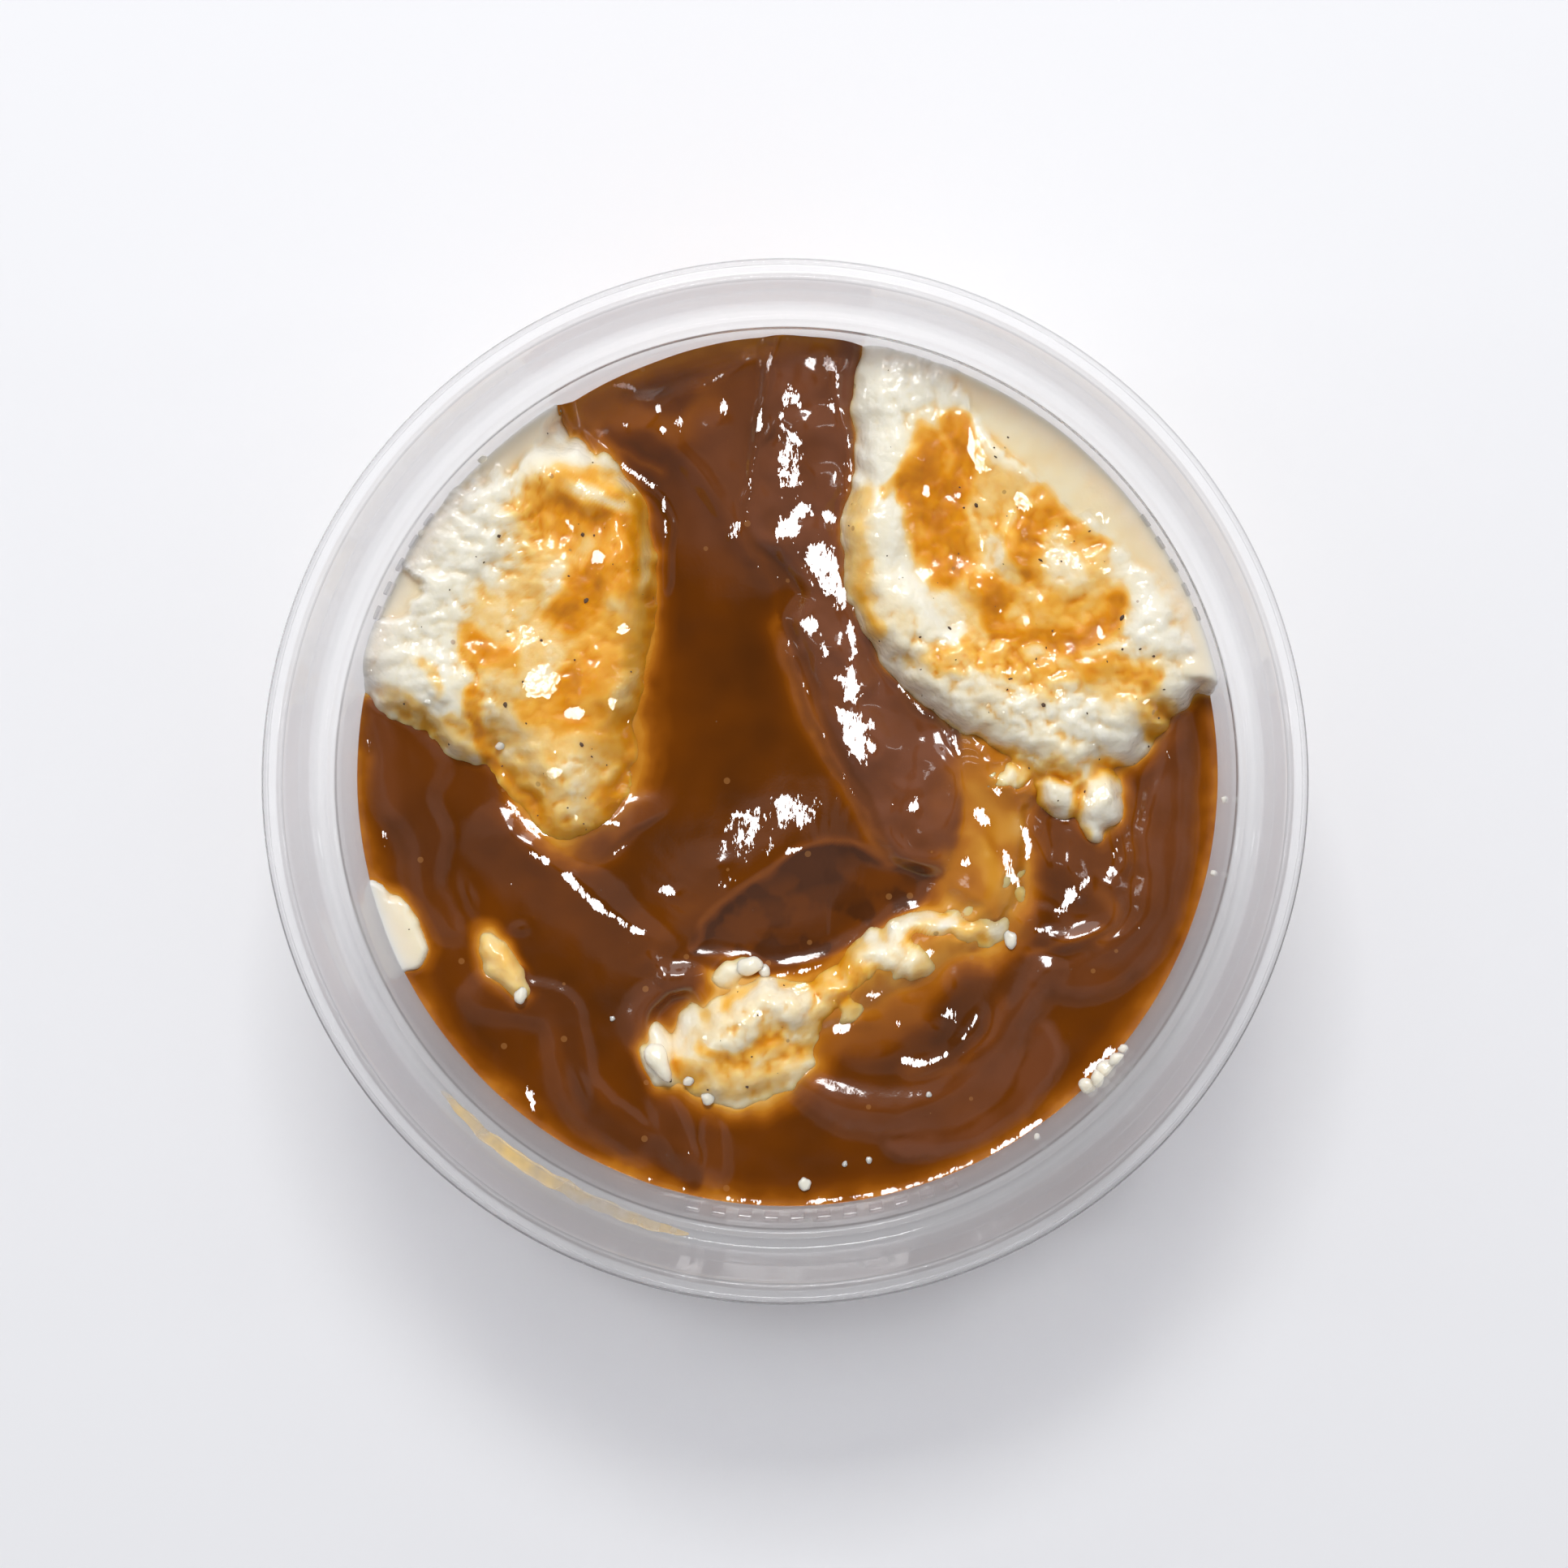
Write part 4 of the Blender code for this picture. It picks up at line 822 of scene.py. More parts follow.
def by_route(x, y, route, part=WHOLE):
    """Distance across a rounded route, the way along it and its length, over one part of the raster."""
    return along_route(x[part], y[part], rounded_line(route, closed=False))


def round_ellipse(x, y, centre, half_long, half_short, turn):
    """Part of the raster round an ellipse, and the ellipse's radius there."""
    part = window([centre], 2.5 * max(half_long, half_short))
    return part, ellipse_radius(x[part], y[part], centre, half_long, half_short, turn)


def soft_union(field, part, share):
    """Adds a share to a 0 to 1 field without passing 1."""
    field[part] = 1.0 - (1.0 - field[part]) * (1.0 - np.clip(share, 0.0, 1.0))


def mash_fields(x, y):
    """Height of the mash, how stained it is (with painted shade in its creases) and how smooth."""
    wobble_x, wobble_y = drifted(x, y, MASH_DRIFT)
    height = np.full(x.shape, BED_Z)
    for mound in MOUNDS.values():
        distance = within(wobble_x, wobble_y, mound["line"])
        above = (mound["top"] - SHORE_Z) * (1.0 - (1.0 - np.clip(distance / mound["rise"], 0.0, 1.0)) ** 2)
        shelf = mound["shelf"][0] + (mound["shelf"][1] - mound["shelf"][0]) * smooth_step(y / 10.0)
        below = (BED_Z - SHORE_Z) * np.clip(-distance / mound["fall"], 0.0, 1.0) ** shelf
        height = np.maximum(height, SHORE_Z + np.where(distance > 0.0, above, below))
    for lump_x, lump_y, half_long, half_short, turn, top in LUMPS:
        part, radius = round_ellipse(wobble_x, wobble_y, (lump_x, lump_y), half_long, half_short, turn)
        height[part] = soft_max(height[part], top - 0.7 - 0.6 * half_short * radius ** 2.6, 1.2)
    smooth = np.zeros(x.shape)
    for zone in PRESSED.values():
        distance = within(wobble_x, wobble_y, zone["line"])
        distance += uneven(x, y, "pressed border")
        share = smooth_step(0.5 + distance / 1.0)
        height = height * (1.0 - share) + (zone["top"] + uneven(x, y, "pressed top")) * share
        smooth = np.maximum(smooth, share)
    grainy = np.full(x.shape, 0.35)
    for centre, half_long, half_short, turn, strength in GRAINY:
        radius = ellipse_radius(x, y, centre, half_long, half_short, turn)
        grainy = np.maximum(grainy, strength * smooth_step(2.0 * (1.25 - radius)))
    grainy *= (1.0 - 0.94 * smooth) * smooth_step((height - 20.0) / 4.0)
    relief = sum(curds(wobble_x, wobble_y, *layer) for layer in MASH_CURDS)
    relief += curds(x, y, *FINE_CURDS) + uneven(wobble_x, wobble_y, "mash swell") - 0.7
    broad = uneven(x, y, "mash broad") * (1.0 - 0.8 * smooth)
    height += 0.95 * grainy * relief + broad + smooth * uneven(x, y, "pressed grain")
    return height, stain_and_crease_shade_of(x, y, height), smooth


def shine_of(x, y, spots, lines):
    """Where wet facets face the light, 0 to 1."""
    shine = np.zeros(x.shape)
    for centre, half_long, half_short, turn, strength in spots:
        narrow = min(half_long, half_short, 1.8)
        part = window([centre], max(half_long, half_short) + 2.0)
        radius = ellipse_radius(x[part], y[part], centre, half_long, half_short, turn)
        ragged = sum(uneven(1.5 * x[part], y[part], name) for name in ("spot border", "fine spot border"))
        beyond = (radius - 1.0) * narrow + (0.08 + 0.55 * narrow) * ragged
        share = smooth_step(0.5 - 0.5 * beyond / (0.2 + 0.35 * narrow))
        shine[part] = np.maximum(shine[part], strength * share)
    for route, half, strength in lines:
        part = window(route, half + 1.5)
        across, along, length = by_route(x, y, route, part)
        ends = smooth_step(along / 1.2) * smooth_step((length - along) / 1.2)
        edge = np.abs(across) - half * (1.0 + uneven(x[part], y[part], "line width"))
        shine[part] = np.maximum(shine[part], strength * ends * smooth_step(0.5 - 0.5 * edge / 0.25))
    return shine


def tiny_shines(count, here):
    """Small scattered facets where the mash is bare."""
    rng = np.random.default_rng(SHINE_SEED)
    spots = []
    while len(spots) < count:
        u, v = rng.uniform(-50.0, 50.0, 2)
        if value_at(here, u, v) > 0.5:
            half = rng.uniform(0.1, 0.24)
            longer = half * rng.uniform(0.8, 2.2)
            spots.append(((u, v), longer, half, rng.uniform(0.0, 180.0), rng.uniform(0.7, 1.0)))
    return spots


def stain_and_crease_shade_of(x, y, height):
    """How much gravy has soaked into the mash and pooled on it, plus painted warm shade in its creases, 0 to
    1.
    """
    drift_x, drift_y = drifted(x, y, STAIN_DRIFT)
    stain = np.zeros(x.shape)
    for line, softness, strength in WASHES:
        distance = within(drift_x, drift_y, line)
        soft_union(stain, WHOLE, strength * smooth_step(0.5 + 0.5 * distance / softness))
    hollows = np.clip((blurred(height, 1.2) - height) / 0.45, -1.0, 1.0)
    stain *= np.clip(1.0 + uneven(x, y, "stain patches") + 0.4 * hollows, 0.2, 2.0)
    for route, half_width, softness, strength in STREAKS:
        part = window(route, half_width + softness + 1.5)
        across = np.abs(by_route(drift_x, drift_y, route, part)[0])
        fade = smooth_step(1.0 - (across - half_width) / (1.5 * softness)) ** 1.5
        soft_union(stain, part, 0.8 * strength * fade * (1.0 + 0.2 * hollows[part]))
    for centre, half_long, half_short, turn, strength in DRY_SPOTS:
        part, radius = round_ellipse(drift_x, drift_y, centre, half_long, half_short, turn)
        stain[part] *= 1.0 - strength * smooth_step(1.6 - radius)
    # Painted shade: creases take some stain colour even on clean mash, standing in for shade between curds;
    # where stain lies they also gather more of it
    crease_shade_and_stain = np.clip((blurred(height, 0.7) - height) / 0.3, 0.0, 1.0)
    stain = stain * (1.0 + uneven(x, y, "stain grain"))
    stain += crease_shade_and_stain * (0.1 + 0.35 * np.clip(2.0 * stain, 0.0, 1.0)) * (1.0 - np.clip(stain, 0.0, 1.0))
    return np.clip(stain, 0.0, 1.0)


def film_over(x, y, bed, stain):
    """Height of the gravy film that coats the mash, far below the mash's skin where it is dry."""
    offset = -3.0 + 2.0 * stain
    for line, softness, thickness in COATS.values():
        part = window(line, 2.0 * softness)
        drift = sum(uneven(x[part], y[part], name) for name in ("film border", "fine film border"))
        distance = within(x, y, line, part) + drift
        share = smooth_step(0.5 + 0.5 * distance / softness)
        film = thickness * (1.0 + uneven(x[part], y[part], "film depth"))
        offset[part] = np.maximum(offset[part], offset[part] * (1.0 - share) + film * share)
    return bed + offset


def gravy_fields(x, y, mash, stain):
    """Height of the gravy and how milky its skin is; the milky haze is partly a painted sheen."""
    height = np.full(x.shape, GRAVY_LEVEL)
    milk = np.zeros(x.shape)
    for centre, half_long, half_short, turn, rise in RISES:
        radius = ellipse_radius(x, y, centre, half_long, half_short, turn)
        height += rise * smooth_step(1.0 - radius)
    drift_x, drift_y = drifted(x, y, GRAVY_DRIFT)
    ragged = uneven(x, y, "skin border")
    streaks = 0.75 + uneven(drift_x, drift_y, "skin streaks")
    for sheet in SHEETS.values():
        part = window(sheet["line"], 5.0)
        distance = within(drift_x, drift_y, sheet["line"], part)
        height[part] += sheet["rise"] * smooth_step(0.5 + distance / sheet["soft"])
        share = smooth_step(0.5 + (distance + 0.7 * ragged[part]) / 0.8) * np.clip(streaks[part], 0.4, 1.0)
        milk[part] = np.maximum(milk[part], sheet["milk"] * share)
    for route, half, left, right, rise, skin, taper in FOLDS.values():
        part = window(route, half + 3.0 * max(left, right))
        across, along, length = by_route(drift_x, drift_y, route, part)
        ends = smooth_step(along / taper) * smooth_step((length - along) / taper)
        soft = np.where(across > 0.0, left, right)
        beyond = np.clip(np.abs(across) - half * np.sqrt(ends), 0.0, None) / soft
        height[part] += rise * ends * np.exp(-beyond ** 2)
        share = np.exp(-(beyond + 0.3 * ragged[part]).clip(0.0) ** 2) * np.clip(streaks[part], 0.5, 1.0)
        milk[part] = np.maximum(milk[part], skin * ends ** 0.5 * share)
    for centre, half_long, half_short, turn, rise in SWELLS:
        part, radius = round_ellipse(drift_x, drift_y, centre, half_long, half_short, turn)
        height[part] += 0.6 * rise * np.exp(-radius ** 2)
    for hollow in HOLLOWS.values():
        part = window(hollow["line"], 4.0)
        distance = within(drift_x, drift_y, hollow["line"], part)
        height[part] += hollow["lip"] * np.exp(-((distance + 0.5) / 0.8) ** 2)
        height[part] -= hollow["depth"] * smooth_step(0.5 + distance / hollow["soft"])
        patches = smooth_step(1.1 + uneven(x[part], y[part], "hollow patches"))
        inside = smooth_step(0.5 + distance / 0.8)
        milk[part] = milk[part] * (1.0 - inside) + hollow["milk"] * inside * (0.25 + 0.75 * patches)
    tongue = within(x, y, SHEETS["tongue"]["line"])
    height += smooth_step(tongue / 2.0) * (uneven(x, y, "tongue swell") + uneven(x, y, "tongue grain"))
    height += uneven(x, y, "gravy swell") + uneven(x, y, "gravy grain")
    bed = blurred(mash, 1.8)
    height = soft_max(height, film_over(x, y, bed, stain), 0.5)
    shore = blurred((mash > height).astype(float), 0.4)
    height += 0.3 * shore * (mash <= height) * (height - bed > 0.6)
    wall = inner_wall_radius(height)
    height += 0.25 * np.exp(-np.clip(wall - np.hypot(x, y), 0.0, None) / 0.7)
    return height, np.clip(milk, 0.0, 1.0)


@functools.lru_cache(maxsize=None)
def food():
    """All fields of the food over the raster."""
    x, y = raster()
    mash, stain, smooth = mash_fields(x, y)
    gravy, milk = gravy_fields(x, y, mash, stain)
    depth = gravy - blurred(mash, 0.5)
    # Near the wall the depth is capped, so the gravy shows lighter amber: partly its thin meniscus, partly a
    # painted glow standing in for light bent through the clear wall.
    to_wall = np.clip(inner_wall_radius(gravy) - np.hypot(x, y), 0.0, None)
    depth = np.minimum(depth, 1.0 + 1.25 * to_wall)
    # Painted glow: left of the sharp fold the depth is lessened, so the gravy shows lighter amber, as if
    # light came through the fold's thin edge.
    edge = by_route(x, y, FOLDS["sharp edge"][0])[0]
    painted_fold_glow = np.exp(-((edge + 1.1) / 1.2) ** 2)
    depth = np.minimum(depth, 5.2) * (1.0 - 0.55 * painted_fold_glow) * (1.0 + uneven(x, y, "depth broad"))
    depth = np.maximum(depth, 0.8 * stain)
    depth *= np.exp(uneven(x, y, "depth fine") * smooth_step((3.6 - depth) / 2.0))
    # Painted shade: inside the pocket the depth is raised, most in ragged patches, so the gravy colours
    # darker as shade in the hollow.
    pocket = within(x, y, HOLLOWS["pocket"]["line"])
    patches = smooth_step(0.6 + uneven(x, y, "pocket shade patches"))
    depth += smooth_step(0.5 + pocket / 1.1) * (3.5 + 5.0 * patches)
    drift_x, drift_y = drifted(x, y, TONE_DRIFT)
    for route, half, soft, deep, skin, strength in TONES:
        part = window(route, half + soft + 1.0)
        across = np.abs(by_route(drift_x, drift_y, route, part)[0])
        share = strength * smooth_step(0.5 + 0.5 * (half - across) / soft)
        depth[part] += (deep - depth[part]) * share
        milk[part] += (skin - milk[part]) * share
    wet = np.exp(-np.clip(mash - gravy, 0.0, None) / 0.8)
    stain = np.maximum(stain, 0.3 * wet * (1.0 - smooth))
    bare = ((mash > gravy + 0.3) & (smooth < 0.5)).astype(float)
    # The edge share drives only the painted haze on mash next to the wall
    return {"mash": mash, "stain": stain, "smooth": smooth, "gravy": gravy, "milk": milk, "depth": depth,
            "edge": np.exp(-to_wall / 1.3), "gravy_shine": shine_of(x, y, GRAVY_SHINES, GRAVY_GLINTS),
            "mash_shine": shine_of(x, y, MASH_SHINES + tiny_shines(TINY_SHINES, bare), [])}


def sample(field, x, y):
    """Field between the raster's points."""
    u = np.clip((x + RASTER_HALF) / RASTER_STEP, 0.0, field.shape[1] - 1.001)
    v = np.clip((y + RASTER_HALF) / RASTER_STEP, 0.0, field.shape[0] - 1.001)
    iu, iv = u.astype(int), v.astype(int)
    fu, fv = u - iu, v - iv
    low = field[iv, iu] * (1 - fu) + field[iv, iu + 1] * fu
    high = field[iv + 1, iu] * (1 - fu) + field[iv + 1, iu + 1] * fu
    return low * (1 - fv) + high * fv


def value_at(field, x, y):
    """Field at one place."""
    return sample(field, np.array([x]), np.array([y]))[0]


def food_top(fields, x, y):
    """Height of whichever lies on top at one place, mash or gravy."""
    return max(value_at(fields["mash"], x, y), value_at(fields["gravy"], x, y))


# ---------------------------------------------------------------- meshes

def deselect():
    """Nothing is selected, in object mode."""
    if bpy.context.object and bpy.context.object.mode != "OBJECT":
        bpy.ops.object.mode_set(mode="OBJECT")
    bpy.ops.object.select_all(action="DESELECT")


def pick(thing):
    """Makes the object the only one selected, in object mode."""
    deselect()
    thing.select_set(True)
    bpy.context.view_layer.objects.active = thing


def coordinates(thing):
    """The mesh's points in millimetres, as one array."""
    flat = np.empty(3 * len(thing.data.vertices), np.float32)
    thing.data.vertices.foreach_get("co", flat)
    return flat.reshape(-1, 3).astype(float) / MM


def place_points(thing, points):
    """Puts the mesh's points where the array in millimetres says."""
    thing.data.vertices.foreach_set("co", (points * MM).astype(np.float32).ravel())
    thing.data.update()


def give_facets(thing, shine):
    """Marks the wet facets and says which way they face."""
    give_attribute(thing, "shine", shine)
    place = coordinates(thing)
    facing = np.ones(place.shape)
    facing[:, :2] = np.array(FACET_LEAN) - place[:, :2] * FACET_TURN
    layer = thing.data.attributes.new("facing", "FLOAT_VECTOR", "POINT")
    layer.data.foreach_set("vector", facing.astype(np.float32).ravel())


def give_attribute(thing, name, values):
    """A value for each point that the material can read."""
    layer = thing.data.attributes.new(name, "FLOAT", "POINT")
    layer.data.foreach_set("value", np.asarray(values, np.float32))


def grid_disc(name, cells):
    """A grid bent to a round disc of radius 1, and its points' places in the plane."""
    deselect()
    bpy.ops.mesh.primitive_grid_add(x_subdivisions=cells, y_subdivisions=cells, size=2.0 * MM)
    disc = bpy.context.object
    disc.name = disc.data.name = name
    points = coordinates(disc)
    a, b = points[:, 0], points[:, 1]
    wide = np.abs(a) > np.abs(b)
    radius = np.where(wide, a, b)
    safe = np.where(np.abs(radius) < 1e-9, 1.0, radius)
    angle = np.where(wide, 0.25 * math.pi * b / safe, 0.5 * math.pi - 0.25 * math.pi * a / safe)
    return disc, radius * np.cos(angle), radius * np.sin(angle)


def shape_top(disc, x, y, height):
    """Lifts the disc to a height and spreads its edge to the tub's tapered wall."""
    reach = inner_wall_radius(GRAVY_LEVEL) + REACH
    x, y = x * reach, y * reach
    z = sample(height, x, y)
    radius = np.hypot(x, y)
    near_wall = smooth_step((radius - reach + WALL_BLEND) / WALL_BLEND)
    spread = 1.0 + near_wall * (inner_wall_radius(z) + REACH - reach) / reach
    place_points(disc, np.stack([x * spread, y * spread, z], axis=1))
    return x, y, z


def select_points(thing, chosen):
    """Selects some points and what they span, then goes to edit mode."""
    pick(thing)
    bpy.ops.object.mode_set(mode="EDIT")
    bpy.ops.mesh.select_all(action="DESELECT")
    bpy.ops.mesh.select_mode(type="VERT")
    bpy.ops.object.mode_set(mode="OBJECT")
    thing.data.vertices.foreach_set("select", np.asarray(chosen, bool))
    bpy.ops.object.mode_set(mode="EDIT")
    bpy.ops.mesh.select_mode(type="VERT")


def select_open_edges(thing):
    """Goes to edit mode with the mesh's open edges selected."""
    pick(thing)
    bpy.ops.object.mode_set(mode="EDIT")
    bpy.ops.mesh.select_mode(type="EDGE")
    bpy.ops.mesh.select_all(action="DESELECT")
    bpy.ops.mesh.select_non_manifold(extend=False, use_wire=False, use_multi_face=False,
                                     use_non_contiguous=False, use_verts=False)


def extrude_edge(thing, radius, z_of):
    """Extrudes the open edge and moves the new points; radius None keeps their place in the plane."""
    before = len(thing.data.vertices)
    select_open_edges(thing)
    bpy.ops.mesh.extrude_edges_move()
    bpy.ops.object.mode_set(mode="OBJECT")
    points = coordinates(thing)
    new = points[before:]
    if radius is not None:
        angle = np.arctan2(new[:, 1], new[:, 0])
        new[:, 0], new[:, 1] = radius * np.cos(angle), radius * np.sin(angle)
    new[:, 2] = z_of(new[:, 0], new[:, 1])
    place_points(thing, points)


def close_edge(thing):
    """Fills the open edges with faces."""
    select_open_edges(thing)
    bpy.ops.mesh.fill(use_beauty=False)
    bpy.ops.mesh.select_all(action="SELECT")
    bpy.ops.mesh.normals_make_consistent(inside=False)
    bpy.ops.object.mode_set(mode="OBJECT")


def smooth_faces(thing, angle=60.0):
    """Smooth shading, with an edge kept sharp past an angle."""
    pick(thing)
    bpy.ops.object.shade_smooth_by_angle(angle=math.radians(angle))


def spun(points, turn):
    """Points turned about the upright axis."""
    c, s = math.cos(turn), math.sin(turn)
    x, y, z = points.T
    return np.stack([x * c - y * s, x * s + y * c, z], axis=1)


# ---------------------------------------------------------------- materials

def set_inputs(node, values):
    """Sets the node's inputs, or links those that are given an output."""
    for label, value in values.items():
        if isinstance(value, bpy.types.NodeSocket):
            node.id_data.links.new(value, node.inputs[label])
        else:
            node.inputs[label].default_value = value


def add_node(tree, kind, values=None, **options):
    """Shader node with its options and inputs set."""
    node = tree.nodes.new("ShaderNode" + kind)
    for name, option in options.items():
        setattr(node, name, option)
    set_inputs(node, values or {})
    return node


def new_material(name, values):
    """Material, its node tree, and its Principled shader with some inputs set."""
    material = bpy.data.materials.new(name)
    material.use_nodes = True
    shader = material.node_tree.nodes["Principled BSDF"]
    set_inputs(shader, values)
    return material, material.node_tree, shader


def new_group(name, inputs, output, kind):
    """Shader node group with float inputs (name and default) and one output."""
    group = bpy.data.node_groups.new(name, "ShaderNodeTree")
    for label, default in inputs.items():
        socket = group.interface.new_socket(name=label, in_out="INPUT", socket_type="NodeSocketFloat")
        socket.default_value = default
    group.interface.new_socket(name=output, in_out="OUTPUT", socket_type=kind)
    return group, group.nodes.new("NodeGroupInput").outputs, group.nodes.new("NodeGroupOutput")


def add_math(tree, operation, a, b=None, clamp=False):
    """Math node with each input linked or set; gives its output."""
    values = {0: a} if b is None else {0: a, 1: b}
    return add_node(tree, "Math", values, operation=operation, use_clamp=clamp).outputs[0]


def add_mix(tree, factor, a, b, blend="MIX"):
    """Colour mix node; gives its output."""
    values = {0: factor}
    for index, colour in ((6, a), (7, b)):
        values[index] = colour if isinstance(colour, bpy.types.NodeSocket) else (*colour, 1.0)
    return add_node(tree, "Mix", values, data_type="RGBA", blend_type=blend).outputs[2]


def object_place(tree):
    """The point's place on its own object."""
    return add_node(tree, "TexCoord").outputs["Object"]


def add_noise(tree, scale, detail=3.0, stretch=1.0):
    """Noise texture over the object, drawn out along Y; gives its value."""
    drawn = add_node(tree, "VectorMath", {0: object_place(tree), 1: (1.0, 1.0 / stretch, 1.0)},
                     operation="MULTIPLY")
    texture = add_node(tree, "TexNoise", {"Vector": drawn.outputs["Vector"], "Scale": scale, "Detail": detail,
                                          "Roughness": NOISE_ROUGHNESS})
    return texture.outputs["Fac"]


def add_wash(tree, scale, amount):
    """Noise on both sides of zero."""
    return add_math(tree, "MULTIPLY", add_math(tree, "SUBTRACT", add_noise(tree, scale), 0.5), amount)


def add_ramp(tree, value, stops):
    """Colour ramp; stops are (place, colour)."""
    node = add_node(tree, "ValToRGB", {"Fac": value})
    ramp = node.color_ramp
    while len(ramp.elements) < len(stops):
        ramp.elements.new(0.5)
    for element, (place, colour) in zip(ramp.elements, stops):
        element.position = place
        element.color = (*colour, 1.0)
    return node.outputs["Color"]


def read_attribute(tree, name):
    """The mesh's own value for each point."""
    return add_node(tree, "Attribute", attribute_name=name).outputs["Fac"]


def use_group(tree, group, **values):
    """Places a group in a material, each input linked or set."""
    return add_node(tree, "Group", values, node_tree=group).outputs[0]


@functools.lru_cache(maxsize=None)
def gravy_colour_group():
    """Colour of gravy by its depth over pale mash, with the set skin's haze, which is partly a painted
    lavender sheen.
    """
    settings = bpy.context.scene.potato_gravy
    group, given, result = new_group("Gravy colour", {"Depth": 5.0, "Skin": 0.0}, "Color", "NodeSocketColor")
    share = add_math(group, "DIVIDE", given["Depth"], DEEPEST_GRAVY, clamp=True)
    share = add_math(group, "ADD", share, add_wash(group, 90.0, 0.10), clamp=True)
    # Past about 5 mm the ramp darkens further; the pocket's painted shade uses that darkest part.
    colour = add_ramp(group, share, [
        (0.0, (0.80, 0.46, 0.13)), (0.045, (0.64, 0.28, 0.03)), (0.09, settings.thin),
        (0.19, (0.34, 0.10, 0.006)), (0.32, settings.middle), (0.5, settings.deep),
        (1.0, (0.062, 0.018, 0.0035))])
    set_inputs(result, {"Color": add_mix(group, given["Skin"], colour, settings.skin)})
    return group


@functools.lru_cache(maxsize=None)
def ripple_group():
    """Fine uneven relief that breaks a wet surface's shine."""
    group, given, result = new_group("Wet ripple", {"Strength": 1.0}, "Height", "NodeSocketFloat")
    fine = add_math(group, "MULTIPLY", add_noise(group, 2600.0, 2.0), 0.4)
    both = add_math(group, "ADD", fine, add_noise(group, 420.0, 2.0))
    set_inputs(result, {"Height": add_math(group, "MULTIPLY", both, given["Strength"])})
    return group


@functools.lru_cache(maxsize=None)
def curd_group():
    """Small soft curds of two sizes."""
    group, _, result = new_group("Small curds", {}, "Height", "NodeSocketFloat")
    heights = []
    for scale, amount in ((800.0, -1.0), (1700.0, -0.4)):
        cells = add_node(group, "TexVoronoi", {"Vector": object_place(group), "Scale": scale})
        heights.append(add_math(group, "MULTIPLY", cells.outputs["Distance"], amount))
    set_inputs(result, {"Height": add_math(group, "ADD", *heights)})
    return group


@functools.lru_cache(maxsize=None)
def fleck_group():
    """Mask of tiny scattered flecks."""
    group, given, result = new_group("Flecks", {"Scale": 600.0, "Amount": 0.1}, "Mask", "NodeSocketFloat")
    cells = add_node(group, "TexVoronoi", {"Vector": object_place(group), "Scale": given["Scale"],
                                           "Randomness": 1.0})
    near = add_math(group, "LESS_THAN", cells.outputs["Distance"], 0.16)
    chance = add_node(group, "SeparateColor", {"Color": cells.outputs["Color"]}).outputs[0]
    some = add_math(group, "LESS_THAN", chance, given["Amount"])
    set_inputs(result, {"Mask": add_math(group, "MULTIPLY", near, some)})
    return group


@functools.lru_cache(maxsize=None)
def facet_group():
    """Normal of the surface, turned to the way the wet facets face where they shine."""
    group, given, result = new_group("Wet facets", {"Grain": 0.5}, "Normal", "NodeSocketVector")
    fine = add_math(group, "SUBTRACT", add_noise(group, 4200.0, 2.0, stretch=3.0), 0.5)
    coarse = add_math(group, "SUBTRACT", add_noise(group, 1100.0, 2.0, stretch=2.0), 0.5)
    grain = add_math(group, "MULTIPLY", add_math(group, "ADD", fine, coarse), given["Grain"])
    mask = add_math(group, "SUBTRACT", add_math(group, "ADD", read_attribute(group, "shine"), grain), 0.5)
    surface = add_node(group, "NewGeometry")
    upward = add_node(group, "SeparateXYZ", {"Vector": surface.outputs["True Normal"]}).outputs["Z"]
    mask = add_math(group, "MULTIPLY", mask, add_math(group, "GREATER_THAN", upward, FACET_UPWARD))
    mask = add_math(group, "MULTIPLY", mask, FACET_CRISPNESS, clamp=True)
    facing = add_node(group, "Attribute", attribute_name="facing")
    world = add_node(group, "VectorTransform", {"Vector": facing.outputs["Vector"]},
                     vector_type="NORMAL", convert_from="OBJECT", convert_to="WORLD")
    turned = {0: mask, 4: surface.outputs["Normal"], 5: world.outputs["Vector"]}
    mix = add_node(group, "Mix", turned, data_type="VECTOR")
    unit = add_node(group, "VectorMath", {0: mix.outputs[1]}, operation="NORMALIZE")
    set_inputs(result, {"Normal": unit.outputs["Vector"]})
    return group


@functools.lru_cache(maxsize=None)
def ring_group():
    """Thin rings at the rim's moulded steps: a painted shade standing in for the light they bend, also used
    as bumps.
    """
    group, _, result = new_group("Moulded rings", {}, "Mask", "NodeSocketFloat")
    flat = add_node(group, "VectorMath", {0: object_place(group), 1: (1.0, 1.0, 0.0)}, operation="MULTIPLY")
    radius = add_node(group, "VectorMath", {0: flat.outputs["Vector"]}, operation="LENGTH").outputs["Value"]
    normal = add_node(group, "NewGeometry").outputs["Normal"]
    upward = add_node(group, "SeparateXYZ", {"Vector": normal}).outputs["Z"]
    level = add_math(group, "GREATER_THAN", add_math(group, "ABSOLUTE", upward), 0.4)
    mask = None
    for ring, half, strength in RINGS:
        away = add_math(group, "ABSOLUTE", add_math(group, "SUBTRACT", radius, ring * MM))
        near = add_math(group, "SUBTRACT", 1.5, add_math(group, "DIVIDE", away, half * MM), clamp=True)
        share = add_math(group, "MULTIPLY", near, strength)
        mask = share if mask is None else add_math(group, "MAXIMUM", mask, share)
    set_inputs(result, {"Mask": add_math(group, "MULTIPLY", mask, level)})
    return group


def add_bump(tree, height, shader, distance, strength, normal=None):
    """Bump from a height into the shader's Normal and its coat's."""
    bump = add_node(tree, "Bump", {"Height": height, "Distance": distance, "Strength": strength})
    if normal is not None:
        set_inputs(bump, {"Normal": normal})
    set_inputs(shader, {"Normal": bump.outputs["Normal"], "Coat Normal": bump.outputs["Normal"]})


